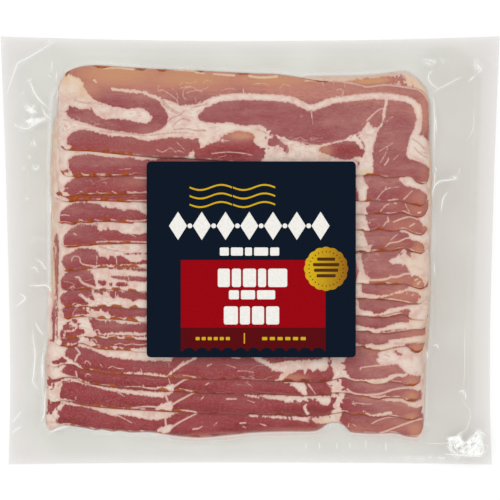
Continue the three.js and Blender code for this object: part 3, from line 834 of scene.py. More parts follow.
        ("seam", [(260, 424), (266, 426)], (0.6, 1)),
        ("fat", [(249, 414), (256, 415), (258, 417), (251, 417)]),
        ("fat", [(264, 416), (317, 417), (332, 415), (333, 423), (323, 424), (314, 422), (305, 422),
            (285, 419), (273, 419)]),
        ("fat", [(330, 413), (342, 412), (341, 418), (338, 428), (328, 428)]),
        ("seam", [(348.5, 427), (349.5, 423)], (1.2, 0.6)),
        ("seam", [(352, 424), (356, 426.5)], (0.6, 0.6)),
        ("seam", [(372, 424), (378.5, 420.5), (386, 418), (395.5, 417), (405.5, 418),
            (412, 419.5)], (1, 1.8)),
        ("seam", [(380, 434), (414, 421), (424, 419.5)], (1.4, 2)),
    ],
}

# Rind: short brown dashes along a lip, each by its middle, its half length and how far it shows, in pixels
rindDashes = {
    0: [(74, 3.6, 3.2), (90.4, 3.2, 2.4), (107, 3.2, 3), (122, 3.2, 3.2), (131, 2, 2.6), (63, 2, 1.6),
        (83, 3, 1), (98, 3, 1), (115, 2.6, 1.6), (368, 5, 2.4), (377, 3.4, 1.4)],
    1: [(63, 3, 3.4), (78.6, 4.6, 3), (93.6, 4, 2.6), (109.8, 3.6, 2.6), (125.6, 3.6, 3), (367, 2.6, 2.6),
        (415, 6, 2.2), (424, 3, 1.4)],
    2: [(60, 3.4, 4), (84, 5, 1.8), (97, 6, 1.8), (110, 7, 1.8), (124, 7, 2), (359, 2, 1), (378, 4, 2.4),
        (415, 5, 1.4)],
    3: [(56, 2, 1.6), (74.6, 5, 6.4), (88.5, 4, 4), (105, 4.4, 4), (121, 4.2, 3.8), (361, 3, 2.2),
        (379, 4.4, 2.6), (388, 3, 1)],
    4: [(75, 3.6, 2.4), (91, 3.4, 3), (107, 4, 3), (123, 4, 2.8), (61, 4, 1), (362, 5, 2.6),
        (381.4, 4.4, 3.6), (395, 3, 2.4), (418, 6, 1.4)],
    5: [(72, 5, 1.4), (80, 3, 1.6), (93, 5, 1.6), (110, 6, 1.8), (127, 6, 1.8)],
    6: [(70, 4, 2.2), (86, 3, 1.6), (103, 4.6, 2.6), (118.6, 3, 2.6), (126, 2.4, 2.4), (134, 3.4, 3),
        (362, 4, 1.6), (380, 5, 4), (394, 4, 3), (418, 6, 2)],
    7: [(86, 5, 1.6), (103.6, 3, 1.6), (117, 4, 2.6), (133, 3.6, 3.4), (65, 5, 1), (362, 4, 1.6),
        (379.6, 3.6, 2.4), (391, 6, 1.2)],
    8: [(69, 3.4, 2), (86, 5, 1.2), (103, 3.4, 2), (117.6, 5, 3.4), (134.4, 4, 3.6), (378, 8, 2),
        (392, 5, 1.4)],
    9: [(70, 4, 2), (80, 4, 1.2), (102.6, 3.4, 3.4), (116.6, 5.4, 3.4), (132.6, 5.2, 3.8), (367, 3, 1.8),
        (383.6, 3.6, 2.2)],
    10: [(57, 3, 1), (73, 5, 2), (98.6, 3.4, 2.2), (113.6, 4.6, 2.8), (130, 4.6, 3), (366, 5, 2.4),
         (384, 5, 1.8), (418, 6, 3.4)],
    11: [(67, 5, 2), (95.6, 2.6, 2.6), (103.4, 2.6, 2.6), (111.2, 2.8, 3), (119.4, 2, 2), (127.4, 3, 3.4)],
    12: [(87, 4, 2), (96, 3, 2.4), (105, 3, 1.2), (113, 3, 2.2), (121.6, 2.4, 1.8), (171, 4, 2.4),
         (188, 4, 1.8), (205, 3, 1), (222, 4, 1.4), (237, 4, 1), (288, 6, 2.6), (304, 5, 3), (322, 5, 2),
         (366, 7, 1.4), (413, 6, 2.6)],
    13: [(50, 2.4, 1.8), (83.6, 2, 1.6), (97.4, 3.6, 2.8), (113.6, 3.4, 2.8), (131, 4, 0.8), (163, 5, 2.4),
         (180, 6, 2.6), (196, 4, 1.8), (213, 5, 0.9), (230, 4, 1), (262, 5, 1), (272, 4, 1), (320, 4, 1.6),
         (362, 3, 1.6), (377, 4, 1.4), (412, 6, 2.6)],
    14: [(51, 3, 1.4), (82.6, 2.6, 1.8), (96.6, 4.4, 2.8), (113, 5, 2.6), (128.4, 4, 2.4), (163, 6, 1.4),
         (178, 5, 2), (213, 4, 0.9), (252, 6, 1), (279, 4, 1.6), (299, 5, 1), (358, 8, 1.6), (413, 6, 2)],
    15: [(72, 3, 2), (112, 8, 0.8), (133, 6, 0.8), (160, 3, 1.2), (195, 6, 2.6), (215, 5, 1.8), (240, 4, 0.8),
         (352, 5, 1), (372, 7, 0.8)],
}
upperDashes = [(101, 7.6, 3), (141, 6, 2.6), (162, 5.4, 2.4), (201, 3.4, 2), (243, 6, 2.2), (319, 9, 1.8),
               (67, 2.2, 4)]

# Smoke-browned patches: middle, half sizes and strength, in pixels of the view
smokedPatches = {
    0: [(120, 72, 60, 17, 0.88), (190, 77, 60, 14, 0.85), (270, 79, 60, 9, 0.8), (88, 88, 16, 12, 0.6),
        (66, 79, 4, 4, 1.0), (66, 86, 8, 10, 0.35), (242, 136, 16, 5, 0.8), (325, 151, 8, 6, 0.6),
        (422, 108, 6, 22, 0.15), (366, 173, 6, 3, 0.9), (424, 175, 6, 8, 0.35), (150, 145, 60, 14, 0.1)],
    1: [(385, 81.5, 40, 3, 1.3), (330, 77, 16, 1.5, 1.0), (417, 84, 8, 5, 0.8), (426, 94, 4, 9, 0.5),
        (63, 173, 4, 3, 0.6), (420, 200, 12, 8, 0.5), (410, 197, 12, 9, 0.25)],
    2: [(418, 209, 14, 8, 0.75), (400, 209, 12, 6, 0.3), (63, 195, 6, 2, 0.8), (130, 183, 18, 6, 0.3)],
    3: [(404, 228, 20, 9, 0.7), (424, 229, 5, 4, 0.9)],
    4: [(418, 248, 8, 6, 1.1), (396, 246, 16, 6, 0.6)],
    6: [(418, 264, 14, 12, 0.45), (396, 281, 30, 6, 0.8), (417, 283, 9, 7, 1.1), (380, 282, 8, 3, 0.6)],
    7: [(402, 297, 24, 8, 0.8), (380, 298, 14, 2.4, 0.6), (423, 292, 8, 4, 0.3)],
    8: [(414, 300, 14, 8, 0.5), (386, 316, 22, 2.2, 0.6), (420, 304, 8, 3, 0.4), (424, 312, 6, 8, 0.15),
        (400, 312, 10, 3, 0.4)],
    9: [(414, 316, 14, 8, 0.6), (418, 329, 10, 3, 0.9), (395, 330, 12, 3, 0.4), (424, 322, 7, 6, 0.25)],
    10: [(414, 336, 14, 8, 0.5), (418, 347, 11, 6, 1.1), (380, 348, 24, 2, 0.5), (424, 340, 8, 4, 0.4)],
    12: [(295, 377, 14, 4, 0.9), (412, 381, 10, 5, 1.0), (366, 381, 14, 1.6, 0.6), (395, 379, 10, 3, 0.3),
         (180, 376, 12, 2, 0.4)],
    13: [(412, 396, 10, 6, 1.1), (400, 393, 10, 4, 0.3), (184, 391, 14, 1.4, 0.6)],
    14: [(396, 399, 14, 2.6, 0.5), (412, 417, 10, 5, 1.1), (400, 411, 18, 6, 0.4), (364, 414, 14, 2, 0.5)],
    15: [(330, 426, 12, 8, 0.8), (300, 430, 40, 2.6, 0.5), (200, 437, 18, 3, 0.7), (240, 434, 40, 2, 0.5),
         (416, 430, 9, 8, 1.1), (380, 430, 40, 5, 0.45), (356, 430, 12, 6, 0.6), (395, 424, 28, 8, 0.35)],
}
# How dark and red each rasher's lean is, from old rose at 0 to dark red at 1
leanDepth = [0.44, 0.58, 0.6, 0.62, 0.6, 0.6, 0.62, 0.62, 0.62, 0.62, 0.6, 0.64, 0.72, 0.78, 0.82, 0.84]
# Fat with specks of lean all through it: middle, half sizes and strength, in pixels of the view
mottled = {
    0: [(270, 134, 14, 7, 3.2), (207, 138, 14, 5, 3.5), (352, 138, 9, 10, 3.0), (300, 151, 18, 6, 2.2),
        (358, 126, 6, 6, 2.6), (180, 127, 12, 8, 1.6), (66, 148, 6, 5, 1.2), (372, 160, 5, 12, 1.4),
        (262, 149, 20, 7, 2.6), (300, 136, 16, 5, 2.4), (196, 150, 10, 5, 1.6), (80, 92, 8, 8, 1.2)],
    4: [(51, 212, 3, 12, 3.0)],
    5: [(51, 236, 3, 16, 3.0)],
    6: [(51, 262, 4, 16, 3.6), (110, 247, 40, 5, 1.6)],
    7: [(51, 284, 5, 12, 4.0), (110, 268, 40, 5, 2.0)],
    8: [(51, 300, 5, 10, 4.0), (100, 290, 40, 7, 2.0)],
    9: [(51, 316, 5, 10, 4.0), (100, 308, 40, 7, 2.2)],
    10: [(51, 328, 5, 10, 4.0), (90, 324, 40, 6, 2.2)],
    11: [(49, 342, 6, 8, 4.0), (90, 338, 40, 8, 2.2)],
    12: [(338, 364, 8, 12, 3.0), (290, 366, 24, 8, 1.2), (52, 356, 10, 8, 3.0), (400, 356, 18, 8, 0.8)],
    13: [(338, 386, 8, 8, 3.0), (290, 386, 20, 6, 1.4), (52, 370, 7, 7, 2.6)],
    14: [(337, 404, 7, 10, 3.0), (300, 399, 24, 5, 1.8), (49, 386, 6, 7, 5.0), (54, 396, 8, 6, 2.6)],
    15: [(336, 419, 8, 8, 2.6), (300, 419, 24, 4, 1.6), (51, 409, 6, 6, 6.0)],
}


# Where the lean is redder, or with a minus paler: middle, half sizes and change, in pixels of the view
leanPatches = {
    0: [(228, 154, 30, 8, 0.5), (343, 152, 18, 6, 0.4), (200, 88, 150, 15, -0.32), (350, 92, 90, 12, -0.3),
        (322, 116, 26, 10, -0.1), (92, 146, 26, 6, 0.3), (150, 148, 20, 7, 0.25), (108, 95, 30, 8, 0.15),
        (240, 104, 60, 6, 0.12), (80, 116, 14, 6, -0.1), (155, 112, 10, 12, 0.05), (250, 137, 6, 3, 0.3),
        (424, 110, 8, 26, -0.3), (390, 135, 26, 30, -0.08)],
}


# How lean changes along and up a rasher. It is paler at the right, by how much and between which x; and it is
# redder along the lip, where the cut dried least, and greyer higher up.
leanLook = {
    "topPaler": (0.06, 10, 60), "paler": (0.2, 10, 60), "lowPaler": (0.45, 45, 68),
    "redderLip": 0.16, "greyer": 0.3, "greyerFrom": 1.0, "greyerFully": 8.0, "patchFade": 0.8,
}


def leanTone(k, x, y):
    px, py = inView(x, y)
    paler, start, end = leanLook["lowPaler" if k >= firstBelowLabel else "paler" if k else "topPaler"]
    tone = leanDepth[k] - paler * smooth(x, start, end)
    if k:
        higher = smooth(y - lipAt(k, x), leanLook["greyerFrom"], leanLook["greyerFully"])
        tone = tone + leanLook["redderLip"] - leanLook["greyer"] * higher
    for *patch, redder in leanPatches.get(k, []):
        tone = tone + redder * np.exp(-patchGap(px, py, patch) ** 1.5 * leanLook["patchFade"])
    return tone


# How the fat goes on round what is drawn, in mm
fatLook = {
    "none": -4.0,              # said of lean that is well away from fat
    "reach": 3.0,              # the distance to an outline is worked out so far round it
    "wideSeam": 2.5,           # in pixels: from this width on a seam wanders at its edge as an area does
    "lipLine": 0.55, "lipLineSize": 3.1, "lipLineLess": 0.03, "lipLineUp": 0.95,
    "lipBareFrom": (-40, -30), "lipBareTo": (-48, -40),
    "endInset": (1.5, 1.0),    # in pixels, at the left and the right end
    "endWander": 1.1, "endWanderSize": 4.0,
    "speckSize": 1.25, "specks": 0.1,
    "coveredFrom": 1.0, "coveredFully": 3.0, "aboveTop": 0.8,
    "behindMiddle": (1, -5), "behindHalf": (54, 50), "behindFade": 4,
}
# The bands of a rasher's hidden part, and the fat at its hidden ends
bands = {
    "strength": 1.6, "height": 4.6, "turn": 0.5, "less": 0.5, "wander": 3.0, "wanderSize": 34.0,
    "uneven": 1.2, "unevenSize": 15.0, "left": -110.0, "right": 98.0, "endFat": 7.0, "endWander": 4.0,
    "endWanderSize": 12.0,
}
# The strip of lean edges down the left side, in pixels of the view but for its half width and its wander
leanStrip = {
    "halfWidth": 1.2, "upperX": 56.4, "lowerX": 54.8, "shifts": (288, 312), "starts": (226, 238),
    "stops": (338, 346), "away": 4.0, "wander": 1.3, "wanderSize": 9.0, "fineness": 7,
}


def strokeField(x, y, kind, points, widths):
    area = kind in ("fat", "lean")
    line = throughPoints(onPack(points), closed=area)
    near = nearLine(x, y, line, fatLook["reach"] + (0 if area else max(widths) * view["pixel"]))
    found = np.full(x.shape, fatLook["none"])
    if near.any():
        gap, along, inside = measureTo(x[near], y[near], line)
        if area:
            found[near] = np.where(inside, gap, -gap)
        else:
            found[near] = lerp(widths[0], widths[1], along) * view["pixel"] / 2 - gap
    return found


# The marbling as it is drawn: first its areas, then its thin seams, which keep their line where a wide border
# wanders, and last the threads
def drawnFat(k, x, y):
    drawn, seams, threads = np.full((3, *x.shape), fatLook["none"])
    for kind, points, *widths in marbling[k]:
        stroke = strokeField(x, y, kind, points, *(widths or [None]))
        if kind == "thread":
            threads = np.maximum(threads, stroke)
        elif kind == "seam" and max(widths[0]) < fatLook["wideSeam"]:
            seams = np.maximum(seams, stroke)
        elif kind in ("fat", "seam"):
            drawn = np.maximum(drawn, stroke)
        else:
            drawn = np.minimum(drawn, -stroke)
            seams = np.minimum(seams, -stroke)
    # along its lip, a thin broken line of fat between the dashes of rind
    low = y - lipAt(k, x)
    bare = smooth(x, *fatLook["lipBareFrom"]) * smooth(-x, *fatLook["lipBareTo"])
    bare = (k >= firstBelowLabel - 1) * bare
    line = fatLook["lipLine"] * unevenness(x, 0 * y, fatLook["lipLineSize"], 11 + k)
    line = line - fatLook["lipLineLess"] - bare - np.abs(low - fatLook["lipLineUp"])
    seams = np.maximum(seams, line)
    # beyond the ends of its visible strip, the cut fat of its edge
    leftInset, rightInset = fatLook["endInset"]
    left, right = onPack([(leftEnds[k] + leftInset, 0), (rightEnds[k] - rightInset, 0)])[:, 0]
    ragged = fatLook["endWander"] * np.minimum(unevenness(x, y, fatLook["endWanderSize"], 3 + k), 0)
    drawn = np.maximum(drawn, np.maximum(left - x, x - right) + ragged)
    px, py = inView(x, y)
    for *patch, strength in mottled.get(k, []):
        specks = np.maximum(unevenness(x, y, fatLook["speckSize"], patch[0]) + fatLook["specks"], 0)
        drawn = drawn - np.exp(-patchGap(px, py, patch) ** 1.5) * strength * specks
    return drawn, seams, threads


# Where others lie on it, bands of fat and lean run along the rasher, as in any slice of belly.
def bandedFat(k, x, y):
    high = y - lipAt(k, x) + bands["wander"] * unevenness(x, y, bands["wanderSize"], 5 + k)
    found = bands["strength"] * np.sin(high / bands["height"] + bands["turn"] * k) - bands["less"]
    found = found + bands["uneven"] * unevenness(x, 2 * y, bands["unevenSize"], 8 + k)
    ends = bands["endFat"] - np.minimum(x - bands["left"], bands["right"] - x)
    ends = ends + bands["endWander"] * unevenness(x, y, bands["endWanderSize"], 4 + k)
    return np.maximum(found, ends)


# How far, from 0 to 1, what lies on rasher k hides it
def hiddenShare(k, x, y):
    covered = y - lipAt(k - 1, x)
    if k == 1:  # it shows again above the top rasher
        covered = np.where(y > lineAt(topEdge, x) - fatLook["aboveTop"], 0, covered)
    if firstBehindLabel <= k < firstBelowLabel:
        (middleX, middleY), (halfX, halfY) = fatLook["behindMiddle"], fatLook["behindHalf"]
        outside = np.maximum(np.abs(x - middleX) - halfX, np.abs(y - middleY) - halfY)
        covered = np.maximum(covered, fatLook["behindFade"] - outside)
    return smooth(covered, fatLook["coveredFrom"], fatLook["coveredFully"])


# Down the left side of each, the lean edges of those below, above 0 inside the strip
def stripField(x, y):
    px, py = inView(x, y)
    middle = lerp(leanStrip["upperX"], leanStrip["lowerX"], smooth(py, *leanStrip["shifts"]))
    found = leanStrip["halfWidth"] - view["pixel"] * np.abs(px - middle)
    wander = unevenness(leanStrip["fineness"] * x, y, leanStrip["wanderSize"], 31)
    found = found + leanStrip["wander"] * wander
    away = leanStrip["away"]
    return found - away * (1 - smooth(py, *leanStrip["starts"])) - away * smooth(py, *leanStrip["stops"])


# Fat above 0 and lean below it, in mm from where they meet, at places on rasher k
def fatField(k, x, y):
    drawn, seams, threads = drawnFat(k, x, y)
    if k == 0:
        return drawn, seams, threads
    hidden = hiddenShare(k, x, y)
    drawn = lerp(drawn, bandedFat(k, x, y), hidden)
    return np.minimum(drawn, -stripField(x, y)), lerp(seams, fatLook["none"], hidden), threads


rindLook = {
    "skin": 0.2, "lowSkin": 0.45,        # its mean height on the lip between the dashes, in mm
    "skinUneven": (0.5, 0.6, 4.0),       # the share that stays, the share that varies, and over how many mm
    "ragged": 0.35, "raggedSize": 1.3,
    "deeper": 0.8, "longer": 0.2,        # in pixels, past the measures of each dash
    "shareBehind": 0.75, "longerBehind": 1.2, "shallowerAtRight": 1.0, "rightFrom": 350,
    "roundness": 2.2,
}


# A dash is half an ellipse standing on its lip.
def dashField(along, up, half, deep):
    power = rindLook["roundness"]
    return (1 - (np.abs(along / half) ** power + np.abs(up / deep) ** power) ** (1 / power)) * min(half, deep)


# Rind above 0, in mm from its edge
def rindField(k, x, y):
    pixel = view["pixel"]
    low = y - lipAt(k, x)
    px, py = inView(x, y)
    ragged = rindLook["ragged"] * unevenness(x, y, rindLook["raggedSize"], 21 + k)
    stays, varies, size = rindLook["skinUneven"]
    skin = rindLook["lowSkin" if k >= firstBelowLabel else "skin"]
    found = skin * (stays + varies * unevenness(x, y * 0, size, k)) - low
    behind = firstBehindLabel < k < firstBelowLabel
    dashes = []
    for middle, half, deep in rindDashes[k]:
        deep = (rindLook["shareBehind"] if behind else 1) * deep + rindLook["deeper"]
        deep = deep - rindLook["shallowerAtRight"] * (middle > rindLook["rightFrom"])
        dashes.append((middle, half + rindLook["longerBehind" if behind else "longer"], deep, low))
    if k == 0:
        dashes += [(middle, half, deep, lineAt(topEdge, x) - y) for middle, half, deep in upperDashes]
    for middle, half, deep, up in dashes:
        found = np.maximum(found, dashField(px - middle, up / pixel, half, deep) * pixel + ragged)
    return found


# A rasher's smoked patches, a faint brown edge on its lip, and its browner ends
smokeLook = {
    "lowerShare": 0.65, "patchFade": 0.9, "lip": 0.22, "lipFrom": -1.6, "lipFully": -0.2,
    "ends": 0.4, "endsUneven": 0.35, "endsSize": 5.0,
}


def smokedField(k, x, y):
    px, py = inView(x, y)
    found = np.zeros(x.shape)
    for *patch, strength in smokedPatches.get(k, []):
        strength = strength * (smokeLook["lowerShare"] if k > 1 else 1)
        found = np.maximum(found, strength * np.exp(-patchGap(px, py, patch) ** 1.4 * smokeLook["patchFade"]))
    lip = smooth(-(y - lipAt(k, x)), smokeLook["lipFrom"], smokeLook["lipFully"])
    found = np.maximum(found, smokeLook["lip"] * lip)
    beyond = np.maximum(leftEnds[k] - px, px - rightEnds[k])
    uneven = smokeLook["ends"] + smokeLook["endsUneven"] * unevenness(x, y, smokeLook["endsSize"], 2 + k)
    return np.maximum(found, smooth(beyond, -1, 2) * uneven)


# Raw cured pork belly, cut by a slicer and wet under the film: lean is dark and close-grained, fat is waxy
# and catches pink from the lean, and the smoked rind is a thin brown skin.
meatLook = {
    "lean": [(0.0, "C6867A"), (0.25, "B0706E"), (0.5, "A05458"), (0.75, "A0464A"), (1.0, "8C343A")],
    "leanFibre": "7A3A3C", "leanPale": "D0A096", "fat": "EFDED4", "fatPink": "DCA89C", "fatThread": "A8543C",
    "smokedLight": "CE8C78", "smoked": "D09A76", "smokedFat": "E8C8A6", "rind": "B4580E",
    "darkRind": "7C2E1E",
    "edgeSoft": 0.34,        # mm from fat to lean
    "edgeWander": 0.9,       # mm that the border wanders
    "wanderSize": 2.4,       # mm over which it does
    "teeth": 0.6,            # mm that fibres reach over the border
    "toothWidth": 1.0,
    "thread": 3.2,           # mm between the pink threads in the fat
    "threadWidth": 0.45,     # mm, half of a drawn thread
    "streak": 9.0,           # mm between the lean's light and dark streaks
    "grain": 1.1,            # mm, the lean's own grain
    "fineGrain": 0.8,
    "veinSpacing": 6.5,      # mm between the fine veins of fat
    "someHere": 21.0,        # mm between the places with more veins and threads
    "cloud": 5.5,            # mm between the pinker clouds in the fat
    "speckle": 0.9,          # mm between the specks of smoke
    "shine": 0.06,           # the film clings to it, so the film's own face does the shining
}


def meatMaterial():
    material, tree = newMaterial("cured_pork_belly_sliced")
    place = addNode(tree, "ShaderNodeTexCoord").outputs["Object"]
    fat, seam, drawnThread, rind, burnt, smoke, depth = [
        addNode(tree, "ShaderNodeAttribute", {"attribute_name": name}).outputs["Fac"]
        for name in ("fat", "seam", "thread", "rind", "burnt", "smoke", "depth")]
    lying = addNode(tree, "ShaderNodeMapping", None, {"Vector": place, "Scale": (0.35, 1, 1)}).outputs[0]
    wander = addNode(tree, "ShaderNodeTexNoise", None,
                     {"Vector": place, "Scale": perMetre / meatLook["wanderSize"], "Detail": 4.0,
                      "Roughness": 0.65})
    centred = addNode(tree, "ShaderNodeMath", {"operation": "SUBTRACT"}, {0: wander.outputs["Fac"], 1: 0.5})
    wandered = addNode(tree, "ShaderNodeMath", {"operation": "MULTIPLY_ADD"},
                       {0: centred.outputs[0], 1: 2 * meatLook["edgeWander"], 2: fat})
    standing = addNode(tree, "ShaderNodeMapping", None, {"Vector": place, "Scale": (1, 0.4, 1)}).outputs[0]
    teeth = addNode(tree, "ShaderNodeTexNoise", None,
                    {"Vector": standing, "Scale": perMetre / meatLook["toothWidth"], "Detail": 2.0})
    toothed = addNode(tree, "ShaderNodeMath", {"operation": "SUBTRACT"}, {0: teeth.outputs["Fac"], 1: 0.5})
    moved = addNode(tree, "ShaderNodeMath", {"operation": "MULTIPLY_ADD"},
                    {0: toothed.outputs[0], 1: 4 * meatLook["teeth"], 2: wandered.outputs[0]})
    seamMoved = addNode(tree, "ShaderNodeMath", {"operation": "MULTIPLY_ADD"},
                        {0: toothed.outputs[0], 1: meatLook["teeth"], 2: seam})
    soft = meatLook["edgeSoft"]
    inArea = addNode(tree, "ShaderNodeMapRange", {"interpolation_type": "SMOOTHSTEP"},
                     {"Value": moved.outputs[0], "From Min": -soft, "From Max": soft})
    inSeam = addNode(tree, "ShaderNodeMapRange", {"interpolation_type": "SMOOTHSTEP"},
                     {"Value": seamMoved.outputs[0], "From Min": -0.3, "From Max": 0.2, "To Max": 0.9})
    isFat = addNode(tree, "ShaderNodeMath", {"operation": "MAXIMUM"},
                    {0: inArea.outputs[0], 1: inSeam.outputs[0]}).outputs[0]
    # fine veins: where a slow noise crosses its middle, thinned out by a slower one
    vein = addNode(tree, "ShaderNodeTexNoise", None,
                   {"Vector": lying, "Scale": perMetre / meatLook["veinSpacing"], "Detail": 3.0,
                    "Distortion": 0.6})
    offMiddle = addNode(tree, "ShaderNodeMath", {"operation": "SUBTRACT"}, {0: vein.outputs["Fac"], 1: 0.5})
    crossing = addNode(tree, "ShaderNodeMath", {"operation": "ABSOLUTE"}, {0: offMiddle.outputs[0]})
    where = addNode(tree, "ShaderNodeTexNoise", None,
                    {"Vector": place, "Scale": perMetre / meatLook["someHere"], "Detail": 1.0})
    width = addNode(tree, "ShaderNodeMapRange", None,
                    {"Value": where.outputs["Fac"], "From Min": 0.5, "From Max": 0.7, "To Min": -0.012,
                     "To Max": 0.012})
    thin = addNode(tree, "ShaderNodeMath", {"operation": "SUBTRACT"},
                   {0: width.outputs[0], 1: crossing.outputs[0]})
    veined = addNode(tree, "ShaderNodeMapRange", {"interpolation_type": "SMOOTHSTEP"},
                     {"Value": thin.outputs[0], "From Min": -0.004, "From Max": 0.008,
                      "To Max": 0.4}).outputs[0]
    fatShare = addNode(tree, "ShaderNodeMath", {"operation": "MAXIMUM"}, {0: isFat, 1: veined}).outputs[0]
    # the lean: rose to dark red by rasher, streaked along it, with a fine grain
    streaks = addNode(tree, "ShaderNodeTexNoise", None,
                      {"Vector": lying, "Scale": perMetre / meatLook["streak"], "Detail": 4.0,
                       "Roughness": 0.6})
    tone = addNode(tree, "ShaderNodeMapRange", None,
                   {"Value": streaks.outputs["Fac"], "From Min": 0.3, "From Max": 0.7, "To Min": -0.2,
                    "To Max": 0.2})
    toned = addNode(tree, "ShaderNodeMath", {"operation": "ADD", "use_clamp": True},
                    {0: tone.outputs[0], 1: depth})
    lean = addNode(tree, "ShaderNodeValToRGB", None, {0: toned.outputs[0]})
    stops = lean.color_ramp.elements
    for at, hexColour in meatLook["lean"][1:-1]:
        stops.new(at)
    for stop, (at, hexColour) in zip(stops, meatLook["lean"]):
        stop.position = at
        stop.color = colour(hexColour)
    grain = addNode(tree, "ShaderNodeTexNoise", None,
                    {"Vector": lying, "Scale": perMetre / meatLook["grain"], "Detail": 3.0})
    grained = addNode(tree, "ShaderNodeMapRange", None,
                      {"Value": grain.outputs["Fac"], "From Min": 0.45, "From Max": 0.75, "To Max": 0.35})
    lean = addNode(tree, "ShaderNodeMix", {"data_type": "RGBA"},
                   {0: grained.outputs[0], 6: lean.outputs[0], 7: colour(meatLook["leanFibre"])})
    pale = addNode(tree, "ShaderNodeTexNoise", None,
                   {"Vector": place, "Scale": perMetre / meatLook["fineGrain"], "Detail": 2.0})
    paled = addNode(tree, "ShaderNodeMapRange", None,
                    {"Value": pale.outputs["Fac"], "From Min": 0.5, "From Max": 0.72, "To Max": 0.24})
    lean = addNode(tree, "ShaderNodeMix", {"data_type": "RGBA"},
                   {0: paled.outputs[0], 6: lean.outputs[2], 7: colour(meatLook["leanPale"])})
    # the fat: cream, pinker in clouds and near the lean
    cloud = addNode(tree, "ShaderNodeTexNoise", None,
                    {"Vector": place, "Scale": perMetre / meatLook["cloud"], "Detail": 3.0})
    clouded = addNode(tree, "ShaderNodeMapRange", None,
                      {"Value": cloud.outputs["Fac"], "From Min": 0.42, "From Max": 0.68, "To Max": 0.7})
    rim = addNode(tree, "ShaderNodeMapRange", None,
                  {"Value": fat, "From Min": 0.1, "From Max": 1.7, "To Min": 0.68, "To Max": 0.03})
    threads = addNode(tree, "ShaderNodeTexNoise", None,
                      {"Vector": lying, "Scale": perMetre / meatLook["thread"], "Detail": 2.0,
                       "Distortion": 0.8})
    offThread = addNode(tree, "ShaderNodeMath", {"operation": "SUBTRACT"},
                        {0: threads.outputs["Fac"], 1: 0.5})
    onThread = addNode(tree, "ShaderNodeMath", {"operation": "ABSOLUTE"}, {0: offThread.outputs[0]})
    threaded = addNode(tree, "ShaderNodeMapRange", {"interpolation_type": "SMOOTHSTEP"},
                       {"Value": onThread.outputs[0], "From Min": 0.0, "From Max": 0.035, "To Min": 0.85,
                        "To Max": 0.0})
    some = addNode(tree, "ShaderNodeMapRange", None,
                   {"Value": where.outputs["Fac"], "From Min": 0.42, "From Max": 0.6, "To Min": 0.25,
                    "To Max": 1.0})
    thready = addNode(tree, "ShaderNodeMath", {"operation": "MULTIPLY"},
                      {0: threaded.outputs[0], 1: some.outputs[0]})
    rimmed = addNode(tree, "ShaderNodeMath", {"operation": "MAXIMUM"},
                     {0: clouded.outputs[0], 1: rim.outputs[0]})
    pink = addNode(tree, "ShaderNodeMath", {"operation": "MAXIMUM"},
                   {0: rimmed.outputs[0], 1: thready.outputs[0]})
    fatColour = addNode(tree, "ShaderNodeMix", {"data_type": "RGBA"},
                        {0: pink.outputs[0], 6: colour(meatLook["fat"]), 7: colour(meatLook["fatPink"])})
    faint = addNode(tree, "ShaderNodeMath", {"operation": "MULTIPLY"},
                    {0: drawnThread, 1: teeth.outputs["Fac"]})
    fatColour = addNode(tree, "ShaderNodeMix", {"data_type": "RGBA"},
                        {0: faint.outputs[0], 6: fatColour.outputs[2], 7: colour(meatLook["fatThread"])})
    bare = addNode(tree, "ShaderNodeMix", {"data_type": "RGBA"},
                   {0: fatShare, 6: lean.outputs[2], 7: fatColour.outputs[2]})
    # smoke browns both, and the rind is browner still
    heavy = addNode(tree, "ShaderNodeMapRange", None, {"Value": smoke, "From Min": 0.45, "From Max": 0.95})
    smokedLean = addNode(tree, "ShaderNodeMix", {"data_type": "RGBA"},
                         {0: heavy.outputs[0], 6: colour(meatLook["smokedLight"]),
                          7: colour(meatLook["smoked"])})
    browned = addNode(tree, "ShaderNodeMix", {"data_type": "RGBA"},
                      {0: fatShare, 6: smokedLean.outputs[2], 7: colour(meatLook["smokedFat"])})
    speckle = addNode(tree, "ShaderNodeTexNoise", None,
                      {"Vector": place, "Scale": perMetre / meatLook["speckle"], "Detail": 2.0})
    speckled = addNode(tree, "ShaderNodeMapRange", None,
                       {"Value": speckle.outputs["Fac"], "From Min": 0.3, "From Max": 0.7, "To Min": 0.9,
                        "To Max": 1.35})
    smokeShare = addNode(tree, "ShaderNodeMath", {"operation": "MULTIPLY", "use_clamp": True},
                         {0: smoke, 1: speckled.outputs[0]})
    smoked = addNode(tree, "ShaderNodeMix", {"data_type": "RGBA"},
                     {0: smokeShare.outputs[0], 6: bare.outputs[2], 7: browned.outputs[2]})
    rindShare = addNode(tree, "ShaderNodeMapRange", {"interpolation_type": "SMOOTHSTEP"},
                        {"Value": rind, "From Min": -0.3, "From Max": 0.3, "To Max": 0.93})
